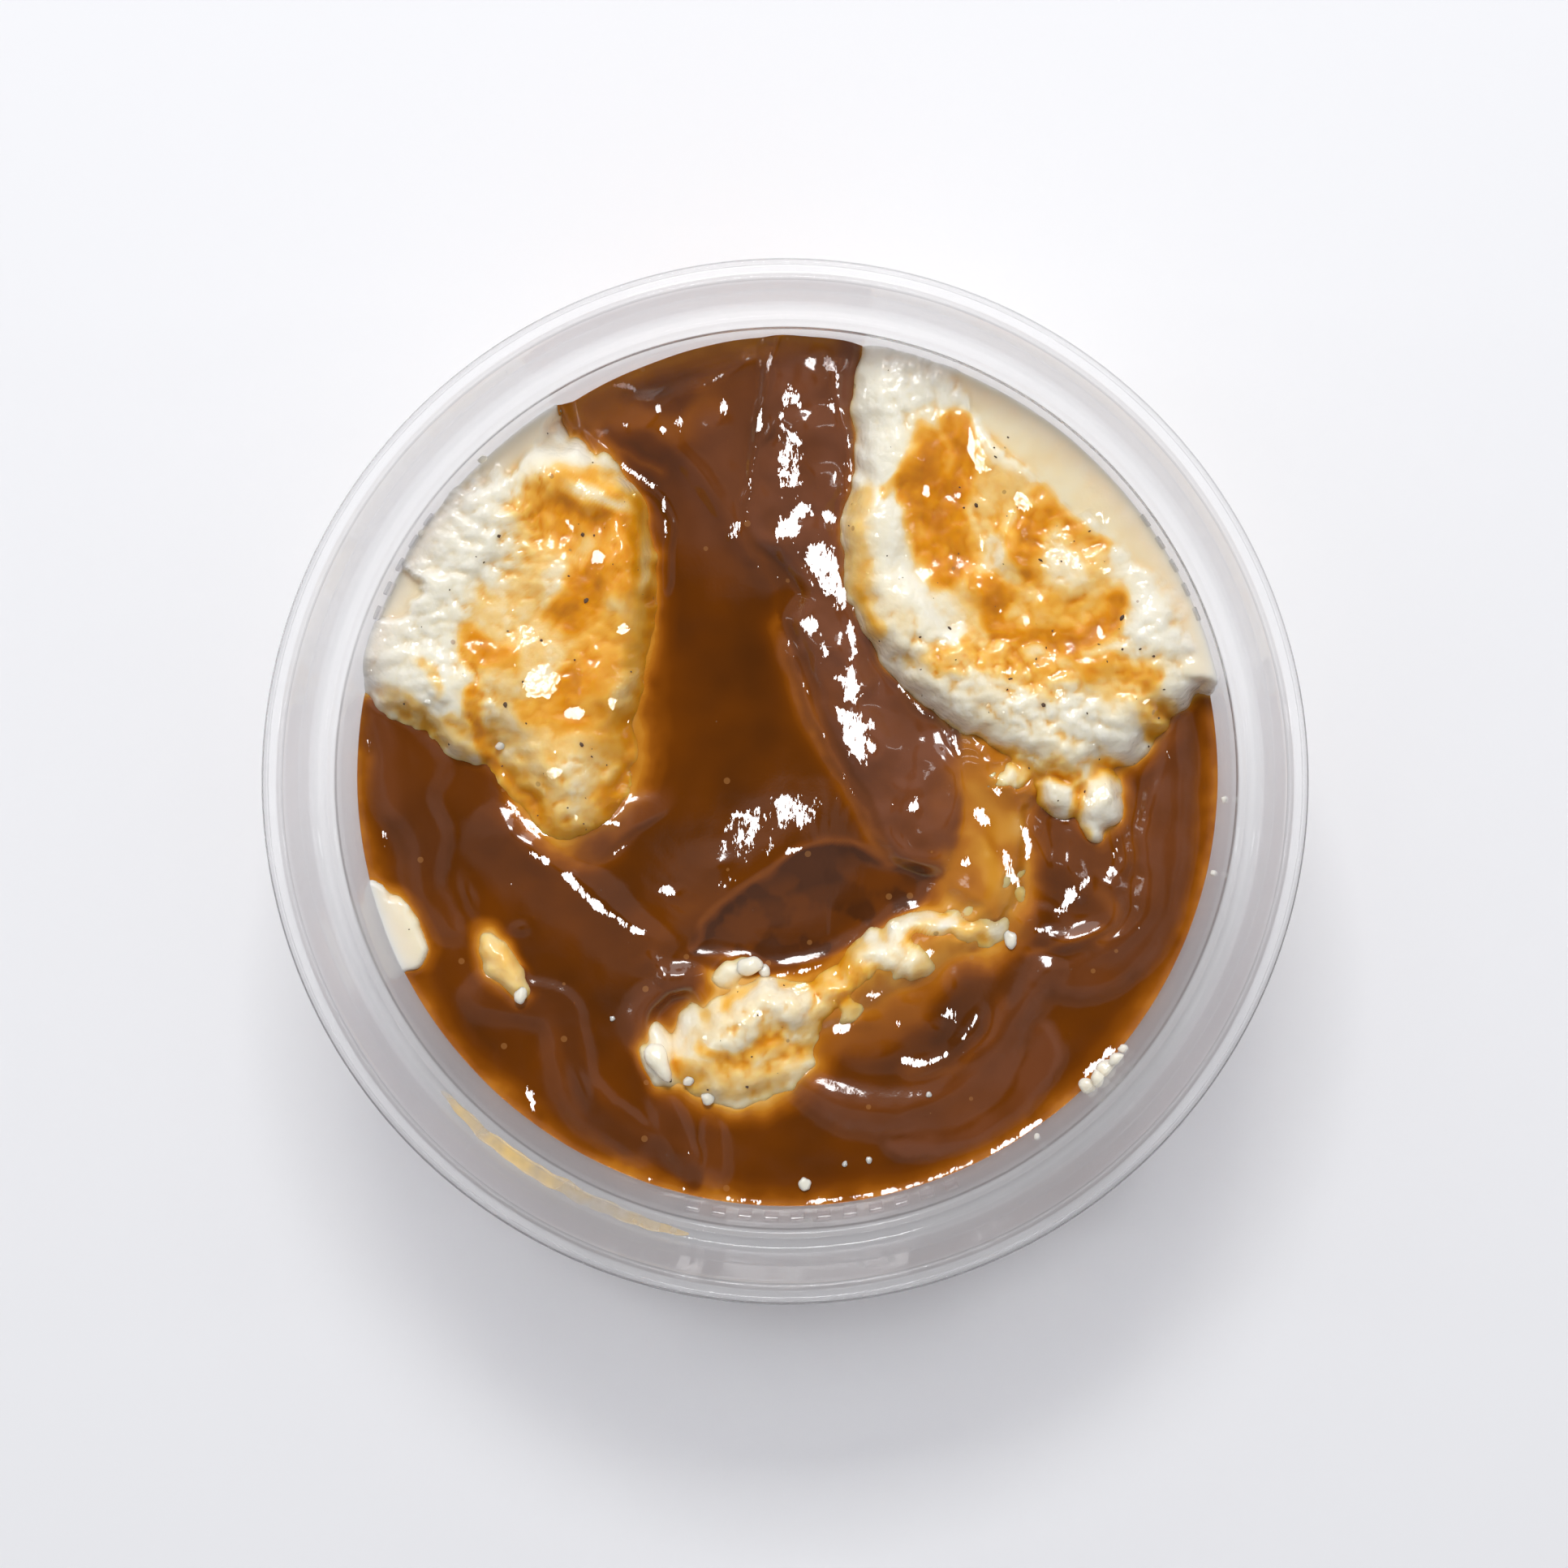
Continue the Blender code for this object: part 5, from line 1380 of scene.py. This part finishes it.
def clear_plastic():
    """Clear moulded plastic that lets the lamps' light through."""
    material, tree, shader = new_material("Clear plastic", {
        "Transmission Weight": 0.9, "IOR": 1.03, "Coat Weight": 0.45, "Coat IOR": 1.5,
        "Coat Roughness": 0.04})
    facing = add_node(tree, "LayerWeight", {"Blend": 0.5}).outputs["Facing"]
    edge = add_math(tree, "POWER", facing, 2.0)
    tint = add_mix(tree, edge, bpy.context.scene.potato_tub.colour, PLASTIC_EDGE)
    rings = use_group(tree, ring_group())
    # The rings are painted darker into the plastic's colour: painted shade of refraction at the moulded
    # steps.
    set_inputs(shader, {"Base Color": add_mix(tree, rings, tint, PAINTED_RING_SHADE),
                        "Roughness": add_math(tree, "MULTIPLY", add_noise(tree, 60.0), 0.16)})
    add_bump(tree, rings, shader, 0.2 * MM, 0.8)
    path = add_node(tree, "LightPath")
    clear = add_node(tree, "BsdfTransparent", {"Color": (*PLASTIC_SHADOW, 1.0)})
    mix = add_node(tree, "MixShader", {"Fac": path.outputs["Is Shadow Ray"], 1: shader.outputs["BSDF"],
                                       2: clear.outputs["BSDF"]})
    set_inputs(tree.nodes["Material Output"], {"Surface": mix.outputs["Shader"]})
    return material


def mash_material():
    """Moist mash: cream, amber where gravy has soaked in and as painted shade in its creases, with flecks of
    skin and a painted haze next to the wall.
    """
    material, tree, shader = new_material("Mashed potato", {
        "Subsurface Weight": 1.0, "Subsurface Radius": (1.0, 0.96, 0.9), "Subsurface Scale": 1.4 * MM,
        "Roughness": 0.38, "Specular IOR Level": 0.2, "Coat Weight": 1.0, "Coat IOR": 1.4,
        "Coat Roughness": 0.08})
    settings = bpy.context.scene.potato_mash
    # The stain attribute also carries painted warm shade in the mash's creases.
    stain = read_attribute(tree, "stain")
    smooth = read_attribute(tree, "smooth")
    cream = add_mix(tree, add_noise(tree, 140.0), PALE_CREAM, settings.cream)
    cream = add_mix(tree, smooth, cream, settings.pressed)
    touched = add_math(tree, "MULTIPLY", stain, 4.0, clamp=True)
    blotch = add_math(tree, "MULTIPLY", add_wash(tree, 420.0, 0.22), touched)
    soaked = add_ramp(tree, add_math(tree, "ADD", stain, blotch, clamp=True), SOAKED_MASH)
    colour = add_mix(tree, touched, cream, soaked)
    # Painted haze: mash next to the wall is greyed as if seen through the clear plastic
    colour = add_mix(tree, read_attribute(tree, "edge"), colour, PAINTED_WALL_HAZE)
    fleck = use_group(tree, fleck_group(), Scale=520.0, Amount=0.05)
    colour = add_mix(tree, add_math(tree, "MULTIPLY", fleck, 0.45), colour, SKIN_FLECK)
    wet = add_math(tree, "ADD", smooth, add_math(tree, "MULTIPLY", stain, 1.6))
    rough = add_math(tree, "SUBTRACT", 1.0, wet, clamp=True)
    grain = add_math(tree, "MULTIPLY", use_group(tree, curd_group()), rough)
    relief = add_math(tree, "ADD", use_group(tree, ripple_group(), Strength=0.25), grain)
    add_bump(tree, relief, shader, 0.3 * MM, 0.4, use_group(tree, facet_group(), Grain=0.6))
    set_inputs(shader, {"Base Color": colour})
    return material


def gravy_material():
    """Set brown gravy: amber where it is thin, hazy on its folds with a partly painted sheen, and glossy."""
    material, tree, shader = new_material("Brown gravy", {
        "Roughness": 0.14, "IOR": 1.2, "Coat Weight": 1.0, "Coat IOR": 1.45, "Coat Roughness": 0.07})
    colour = use_group(tree, gravy_colour_group(), Depth=read_attribute(tree, "depth"),
                       Skin=read_attribute(tree, "milk"))
    fleck = use_group(tree, fleck_group(), Scale=420.0, Amount=0.12)
    colour = add_mix(tree, add_math(tree, "MULTIPLY", fleck, 0.35), colour, GRAVY_FLECK)
    set_inputs(shader, {"Base Color": colour})
    add_bump(tree, use_group(tree, ripple_group(), Strength=1.0), shader, 0.10 * MM, 0.25,
             use_group(tree, facet_group(), Grain=1.3))
    return material


def pepper_material():
    """Ground black pepper."""
    material, tree, shader = new_material("Ground pepper", {"Roughness": 0.6})
    set_inputs(shader, {"Base Color": add_mix(tree, add_noise(tree, 900.0), PEPPER_DARK, PEPPER_BROWN)})
    return material


def smear_material():
    """Thin pale gravy that dried on the plastic."""
    values = {"Roughness": 0.2, "Base Color": (*DRIED_GRAVY, 1.0)}
    material, tree, shader = new_material("Gravy smear", values)
    patches = add_math(tree, "SUBTRACT", add_noise(tree, 150.0), 0.28)
    cover = add_math(tree, "MULTIPLY", patches, 2.2, clamp=True)
    set_inputs(shader, {"Alpha": cover})
    return material


# ---------------------------------------------------------------- pieces

def join_pieces(pieces, name):
    """Joins pieces into the first one and names it."""
    deselect()
    for piece in pieces:
        piece.select_set(True)
    bpy.context.view_layer.objects.active = pieces[0]
    bpy.ops.object.join()
    joined = bpy.context.object
    joined.name = joined.data.name = name
    return joined


def potato_bit(rng, place, size, length):
    """One uneven soft bit of potato, sizes in millimetres."""
    deselect()
    bpy.ops.mesh.primitive_ico_sphere_add(subdivisions=3, radius=MM)
    bit = bpy.context.object
    points = coordinates(bit)
    swell = 1.0 + uneven(points[:, 0] + place[0], points[:, 1] + place[1], "bit swell")
    points *= (size * swell)[:, None] * np.array([1.0, length, 0.7])
    place_points(bit, spun(points, rng.uniform(0.0, math.pi)) + np.array(place))
    smooth_faces(bit)
    return bit


def finish_piece(piece, slot, *nodes):
    """The piece rides on the tub and stands for its CAD nodes; its slot is not used."""
    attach(piece, "root")
    if nodes:
        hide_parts(*nodes)


def rounded_corner(before, corner, after, radius, steps=5):
    """Points that round off one corner of a profile."""
    before, corner, after = (np.array(point, float) for point in (before, corner, after))
    start = corner + radius * (before - corner) / np.linalg.norm(before - corner)
    end = corner + radius * (after - corner) / np.linalg.norm(after - corner)
    shares = np.linspace(0.0, 1.0, steps)
    return [tuple((1 - t) ** 2 * start + 2 * t * (1 - t) * corner + t * t * end) for t in shares]


def rounded_profile(corners):
    """Profile through (radius, z, rounding) corners, each one rounded off."""
    points = [corners[0][:2]]
    for before, here, after in zip(corners[:-2], corners[1:-1], corners[2:]):
        if here[2] > 0.0:
            points += rounded_corner(before[:2], here[:2], after[:2], here[2])
        else:
            points.append(here[:2])
    return points + [corners[-1][:2]]


def tub_profile():
    """Closed profile (radius, z): up the outside, over the lip, down the inside."""
    wall = TUB_WALL
    ledge_top = LEDGE_Z + LEDGE_RISE
    lip_low = TUB_HEIGHT - LIP_DEPTH
    outside = [
        (0.0, FOOT_HEIGHT, 0.0), (FOOT_INNER_RADIUS, FOOT_HEIGHT, 0.4),
        (FOOT_INNER_RADIUS + FOOT_HEIGHT, 0.0, 0.5), (FOOT_OUTER_RADIUS, 0.0, 1.2),
        (WALL_FOOT_RADIUS + wall, WALL_FOOT_Z, 1.4), (LEDGE_IN_RADIUS + wall, ledge_top - wall - 0.15, 0.5),
        (LEDGE_OUT_RADIUS + wall, ledge_top - wall, 0.5),
        (COLLAR_TOP_RADIUS + wall, TUB_HEIGHT - wall, 0.3), (RIM_RADIUS - 0.6, TUB_HEIGHT - wall, 0.3),
        (RIM_RADIUS - 0.5, lip_low, 0.15)]
    inside = [
        (RIM_RADIUS, lip_low, 0.1), (RIM_RADIUS, TUB_HEIGHT - 0.45, 0.3),
        (RIM_RADIUS - 0.45, TUB_HEIGHT, 0.15), (RIM_RADIUS - 0.8, TUB_HEIGHT - 0.5, 0.2),
        (COLLAR_TOP_RADIUS + 0.75, TUB_HEIGHT - 0.45, 0.2),
        (COLLAR_TOP_RADIUS + 0.3, TUB_HEIGHT, 0.25), (COLLAR_TOP_RADIUS, TUB_HEIGHT - 0.4, 0.3),
        (COLLAR_TOP_RADIUS - 0.25, TUB_HEIGHT - 1.2, 0.3), (LEDGE_OUT_RADIUS, ledge_top, 0.7),
        *[(radius, ledge_top + rise, rounding) for radius, rise, rounding in LEDGE_BEAD],
        (LEDGE_IN_RADIUS, LEDGE_Z, 0.35),
        (WALL_FOOT_RADIUS, WALL_FOOT_Z, 1.4), (FOOT_OUTER_RADIUS - 0.3, wall, 1.2),
        (FOOT_INNER_RADIUS + FOOT_HEIGHT, wall, 0.5), (FOOT_INNER_RADIUS, FOOT_HEIGHT + wall, 0.4),
        (0.0, FOOT_HEIGHT + wall, 0.0)]
    return rounded_profile(outside + inside)


class POTATO_OT_tub(bpy.types.Operator):
    """Turns the clear tub's profile round its axis"""
    bl_idname = "potato.tub"
    bl_label = "Clear tub"

    def execute(self, context):
        profile = tub_profile()
        deselect()
        bpy.ops.mesh.primitive_circle_add(vertices=len(profile), radius=MM, fill_type="NOTHING")
        tub = context.object
        tub.name = tub.data.name = "clear_tub"
        place_points(tub, np.array([(r, 0.0, z) for r, z in profile]))
        bpy.ops.object.mode_set(mode="EDIT")
        bpy.ops.mesh.select_mode(type="EDGE")
        bpy.ops.object.mode_set(mode="OBJECT")
        for edge in tub.data.edges:
            a, b = (tub.data.vertices[i].co.x for i in edge.vertices)
            edge.select = a < 1e-7 and b < 1e-7
        bpy.ops.object.mode_set(mode="EDIT")
        bpy.ops.mesh.delete(type="EDGE_FACE")
        bpy.ops.mesh.select_all(action="SELECT")
        bpy.ops.mesh.spin(steps=context.scene.potato_tub.segments, angle=2.0 * math.pi,
                          center=(0.0, 0.0, 0.0), axis=(0.0, 0.0, 1.0))
        bpy.ops.mesh.select_all(action="SELECT")
        bpy.ops.mesh.remove_doubles(threshold=0.002 * MM)
        bpy.ops.mesh.normals_make_consistent(inside=False)
        bpy.ops.object.mode_set(mode="OBJECT")
        smooth_faces(tub, 40.0)
        tub.data.materials.append(clear_plastic())
        finish_piece(tub, "clear_plastic", "tub")
        return {"FINISHED"}


class POTATO_OT_mash(bpy.types.Operator):
    """Shapes the mounds of mashed potato"""
    bl_idname = "potato.mash"
    bl_label = "Mashed potato"

    def execute(self, context):
        fields = food()
        mash, x, y = grid_disc("mash_mounds", context.scene.potato_mash.cells)
        x, y, _ = shape_top(mash, x, y, fields["mash"])
        count = len(mash.data.vertices)
        foot_radius = inner_wall_radius(CONTENTS_FOOT_Z) + REACH
        extrude_edge(mash, foot_radius, lambda u, v: np.full(u.shape, CONTENTS_FOOT_Z))
        extrude_edge(mash, CONTENTS_FOOT_RADIUS, lambda u, v: np.full(u.shape, CONTENTS_FLOOR))
        close_edge(mash)
        extra = len(mash.data.vertices) - count
        for name, beyond in (("stain", 0.0), ("smooth", 0.6), ("edge", 0.0)):
            give_attribute(mash, name, np.append(sample(fields[name], x, y), np.full(extra, beyond)))
        give_facets(mash, np.append(sample(fields["mash_shine"], x, y), np.zeros(extra)))
        smooth_faces(mash)
        mash.data.materials.append(mash_material())
        finish_piece(mash, "mashed_potato", "mash")
        return {"FINISHED"}


class POTATO_OT_gravy(bpy.types.Operator):
    """Shapes the pool of set gravy between the mounds"""
    bl_idname = "potato.gravy"
    bl_label = "Brown gravy"

    def execute(self, context):
        fields = food()
        side = context.scene.potato_gravy.cells
        gravy, x, y = grid_disc("gravy_pool", side)
        x, y, z = shape_top(gravy, x, y, fields["gravy"])
        shown = blurred((fields["gravy"] - fields["mash"] > 0.0).astype(float), 0.5)
        over = (z - sample(fields["mash"], x, y) > -0.35) & (sample(shown, x, y) > 0.02)
        over = over.reshape(side + 1, side + 1)
        face = over[1:, 1:] | over[1:, :-1] | over[:-1, 1:] | over[:-1, :-1]
        kept = np.zeros(over.shape, bool)
        for rows in (np.s_[1:], np.s_[:-1]):
            for columns in (np.s_[1:], np.s_[:-1]):
                kept[rows, columns] |= face
        give_attribute(gravy, "depth", sample(fields["depth"], x, y))
        give_facets(gravy, sample(fields["gravy_shine"], x, y))
        give_attribute(gravy, "milk", sample(fields["milk"], x, y))
        select_points(gravy, ~kept.ravel())
        bpy.ops.mesh.delete(type="VERT")
        bpy.ops.object.mode_set(mode="OBJECT")

        def below(u, v):
            bed = sample(fields["mash"], u, v) - 0.5
            at_wall = np.hypot(u, v) > inner_wall_radius(bed) - 1.0
            return np.where(at_wall, bed, BED_Z - 2.0)

        extrude_edge(gravy, None, below)
        points = coordinates(gravy)
        radius = np.hypot(points[:, 0], points[:, 1])
        limit = inner_wall_radius(points[:, 2]) + REACH
        outside = radius > limit
        points[outside, :2] *= (limit[outside] / radius[outside])[:, None]
        place_points(gravy, points)
        close_edge(gravy)
        smooth_faces(gravy)
        gravy.data.materials.append(gravy_material())
        finish_piece(gravy, "brown_gravy", "gravy")
        return {"FINISHED"}


class POTATO_OT_lugs(bpy.types.Operator):
    """Sets the short upright lugs on the inner wall that keep stacked tubs apart"""
    bl_idname = "potato.lugs"
    bl_label = "Stacking lugs"

    def execute(self, context):
        settings = context.scene.potato_tub
        half = np.array([LUG_DEPTH, settings.lug_width / MM, settings.lug_height / MM]) * 0.5
        middle = LUG_LOW_Z + half[2]
        lean = (inner_wall_radius(LUG_LOW_Z + 3.0) - inner_wall_radius(LUG_LOW_Z)) / 3.0
        lugs = []
        for first, count in LUG_GROUPS:
            for index in range(count):
                deselect()
                bpy.ops.mesh.primitive_cube_add(size=2.0 * MM)
                lug = context.object
                corner = coordinates(lug) * half
                angle = math.radians(first + index * LUG_STEP)
                radius = inner_wall_radius(middle) + corner[:, 0] + lean * corner[:, 2]
                x = radius * math.cos(angle) - corner[:, 1] * math.sin(angle)
                y = radius * math.sin(angle) + corner[:, 1] * math.cos(angle)
                place_points(lug, np.stack([x, y, middle + corner[:, 2]], axis=1))
                lugs.append(lug)
        piece = join_pieces(lugs, "stacking_lugs")
        bpy.ops.object.modifier_add(type="BEVEL")
        piece.modifiers[-1].width = 0.25 * LUG_DEPTH * MM
        piece.modifiers[-1].segments = 2
        bpy.ops.object.modifier_apply(modifier=piece.modifiers[-1].name)
        piece.data.materials.append(clear_plastic())
        finish_piece(piece, "clear_plastic")
        return {"FINISHED"}


class POTATO_OT_bits(bpy.types.Operator):
    """Drops small bits of potato on the gravy and the wall"""
    bl_idname = "potato.bits"
    bl_label = "Potato bits"

    def execute(self, context):
        fields = food()
        rng = np.random.default_rng(BITS_SEED)
        bits = []
        for x, y, size, length in GRAVY_BITS:
            bits.append(potato_bit(rng, (x, y, food_top(fields, x, y) + 0.1 * size), size, length))
        for angle, z, size, length in WALL_BITS:
            turn = math.radians(angle)
            radius = inner_wall_radius(z) - 0.25 * size
            place = (radius * math.cos(turn), radius * math.sin(turn), z)
            bits.append(potato_bit(rng, place, size, length))
        piece = join_pieces(bits, "potato_bits")
        give_facets(piece, np.zeros(len(piece.data.vertices)))
        give_attribute(piece, "stain", np.full(len(piece.data.vertices), 0.05))
        piece.data.materials.append(mash_material())
        finish_piece(piece, "mashed_potato")
        return {"FINISHED"}


class POTATO_OT_smear(bpy.types.Operator):
    """Lays the thin smear of gravy that dried on the ledge"""
    bl_idname = "potato.smear"
    bl_label = "Gravy smear"

    def execute(self, context):
        deselect()
        bpy.ops.mesh.primitive_grid_add(x_subdivisions=120, y_subdivisions=8, size=MM)
        smear = context.object
        smear.name = smear.data.name = "gravy_smear"
        flat = coordinates(smear)
        along = flat[:, 0] + 0.5
        across = flat[:, 1] * 2.0
        first, last = SMEAR_ANGLES
        angle = np.radians(first + (last - first) * along)
        width = SMEAR_HALF_WIDTH * np.sqrt(np.clip(4.0 * along * (1.0 - along), 0.0, 1.0)) + 0.05
        wave = uneven(60.0 * along, 0.0 * along, "smear wave")
        radius = SMEAR_RADIUS + wave + width * across
        z = LEDGE_Z + LEDGE_RISE + 0.12 + 0.3 * np.clip(radius - LEDGE_OUT_RADIUS + 0.7, 0.0, None) ** 2
        place_points(smear, np.stack([radius * np.cos(angle), radius * np.sin(angle), z], axis=1))
        smooth_faces(smear)
        smear.data.materials.append(smear_material())
        finish_piece(smear, "brown_gravy")
        return {"FINISHED"}


class POTATO_OT_pepper(bpy.types.Operator):
    """Scatters ground pepper over the mash"""
    bl_idname = "potato.pepper"
    bl_label = "Ground pepper"

    def execute(self, context):
        fields = food()
        rng = np.random.default_rng(PEPPER_SEED)
        placed = list(PEPPER_PLACES)
        while len(placed) < context.scene.potato_mash.pepper:
            u, v = rng.uniform(-PEPPER_HALF_SIDE, PEPPER_HALF_SIDE, 2)
            over_gravy = value_at(fields["mash"], u, v) > value_at(fields["gravy"], u, v) + 0.3
            if math.hypot(u, v) < PEPPER_REACH and over_gravy:
                placed.append((u, v))
        pieces = []
        for index, (u, v) in enumerate(placed):
            size = rng.uniform(*(LARGE_FLAKES if index < len(PEPPER_PLACES) else SMALL_FLAKES))
            deselect()
            bpy.ops.mesh.primitive_ico_sphere_add(subdivisions=1, radius=MM)
            flake = context.object
            points = coordinates(flake)
            points *= rng.uniform(0.6, 1.1, points.shape)
            points *= size * np.array([rng.uniform(0.5, 1.0), rng.uniform(0.8, 1.4), 0.45])
            points = spun(points, rng.uniform(0.0, math.pi))
            place_points(flake, points + np.array([u, v, food_top(fields, u, v) + 0.05]))
            pieces.append(flake)
        pepper = join_pieces(pieces, "ground_pepper")
        pepper.data.materials.append(pepper_material())
        finish_piece(pepper, "mashed_potato")
        return {"FINISHED"}


# ---------------------------------------------------------------- stage

def add_panel_light(name, place, target, size_x, size_y, power):
    """Flat soft light that faces a point."""
    lamp = bpy.data.lights.new(name, "AREA")
    lamp.shape = "RECTANGLE"
    lamp.size, lamp.size_y = size_x, size_y
    lamp.energy = power
    panel = bpy.data.objects.new(name, lamp)
    panel.location = place
    panel.rotation_euler = (Vector(target) - Vector(place)).to_track_quat("-Z", "Y").to_euler()
    bpy.context.scene.collection.objects.link(panel)


class POTATO_OT_stage(bpy.types.Operator):
    """Lays the floor and sets the lights and the camera"""
    bl_idname = "potato.stage"
    bl_label = "Floor, light and camera"

    def execute(self, context):
        settings = context.scene.potato_stage
        deselect()
        bpy.ops.mesh.primitive_plane_add(size=FLOOR_SIDE, location=(0.0, 0.0, -FLOOR_DROP))
        floor = context.object
        floor.name = floor.data.name = "floor"
        values = {"Base Color": (*settings.floor, 1.0), "Roughness": 0.7}
        floor.data.materials.append(new_material("Pale floor", values)[0])

        world = bpy.data.worlds.new("Studio")
        context.scene.world = world
        world.use_nodes = True
        tree = world.node_tree
        split = add_node(tree, "SeparateXYZ", {"Vector": add_node(tree, "TexCoord").outputs["Generated"]})
        dim, grey = settings.ceiling, settings.walls
        sky = add_ramp(tree, split.outputs["Z"], [
            (0.0, (grey, grey, 1.04 * grey)), (0.955, (grey, grey, 1.04 * grey)), (0.992, (dim, dim, dim)),
            (1.0, (dim, dim, dim))])
        toward_back = add_math(tree, "ADD", add_math(tree, "MULTIPLY", split.outputs["Y"], 0.5), 0.5)
        depthwise = add_ramp(tree, toward_back, [
            (0.0, (0.8, 0.8, 0.8)), (0.42, (0.8, 0.8, 0.8)), (0.56, (1.1, 1.1, 1.1)), (1.0, (1.2, 1.2, 1.2))])
        set_inputs(tree.nodes["Background"], {"Color": add_mix(tree, 1.0, sky, depthwise, "MULTIPLY")})

        for name, place, width, height, power in LIGHTS:
            add_panel_light(name, place, LIGHT_TARGET, width, height, getattr(settings, power))

        camera_data = bpy.data.cameras.new("Camera")
        camera = bpy.data.objects.new("Camera", camera_data)
        context.scene.collection.objects.link(camera)
        target = Vector((0.0, 0.0, TUB_HIGH.z))
        camera.location = target + Vector((*CAMERA_SHIFT, settings.distance))
        back = (camera.location - target).normalized()
        right = Vector((0.0, 1.0, 0.0)).cross(back).normalized()
        up = back.cross(right)
        turn = Matrix((right, up, back)).transposed()
        camera.rotation_euler = turn.to_euler()
        frame_width = 2.0 * RIM_RADIUS * MM * FRAME_TO_RIM
        camera_data.sensor_width = SENSOR_WIDTH
        camera_data.lens = SENSOR_WIDTH * (camera.location - target).length / frame_width
        context.scene.camera = camera
        context.scene.view_settings.view_transform = "Standard"
        return {"FINISHED"}


class POTATO_PT_panel(bpy.types.Panel):
    """Lists the steps that build the helping"""
    bl_label = "Mashed potato side"
    bl_idname = "POTATO_PT_panel"
    bl_space_type = "VIEW_3D"
    bl_region_type = "UI"
    bl_category = "Mashed potato"

    def draw(self, context):
        for operator in OPERATORS:
            self.layout.operator(operator.bl_idname)
        for group in ("potato_tub", "potato_mash", "potato_gravy", "potato_stage"):
            settings = getattr(context.scene, group)
            box = self.layout.box()
            for name in settings.bl_rna.properties.keys():
                if name not in {"rna_type", "name"}:
                    box.prop(settings, name)


SETTINGS = {"potato_tub": TubSettings, "potato_mash": MashSettings, "potato_gravy": GravySettings,
            "potato_stage": StageSettings}
OPERATORS = (POTATO_OT_tub, POTATO_OT_lugs, POTATO_OT_mash, POTATO_OT_gravy, POTATO_OT_pepper, POTATO_OT_bits,
             POTATO_OT_smear, POTATO_OT_stage)


def register():
    """Adds the classes and the scene's settings."""
    for name, group in SETTINGS.items():
        bpy.utils.register_class(group)
        setattr(bpy.types.Scene, name, bpy.props.PointerProperty(type=group))
    for operator in OPERATORS:
        bpy.utils.register_class(operator)
    bpy.utils.register_class(POTATO_PT_panel)


def unregister():
    """Takes the classes and settings away again."""
    bpy.utils.unregister_class(POTATO_PT_panel)
    for operator in reversed(OPERATORS):
        bpy.utils.unregister_class(operator)
    for name, group in SETTINGS.items():
        delattr(bpy.types.Scene, name)
        bpy.utils.unregister_class(group)


def main():
    """Builds every piece."""
    register()
    bpy.ops.potato.tub()
    bpy.ops.potato.mash()
    bpy.ops.potato.gravy()
    bpy.ops.potato.lugs()
    bpy.ops.potato.pepper()
    bpy.ops.potato.bits()
    bpy.ops.potato.smear()
    bpy.ops.potato.stage()


if __name__ == "__main__":
    main()
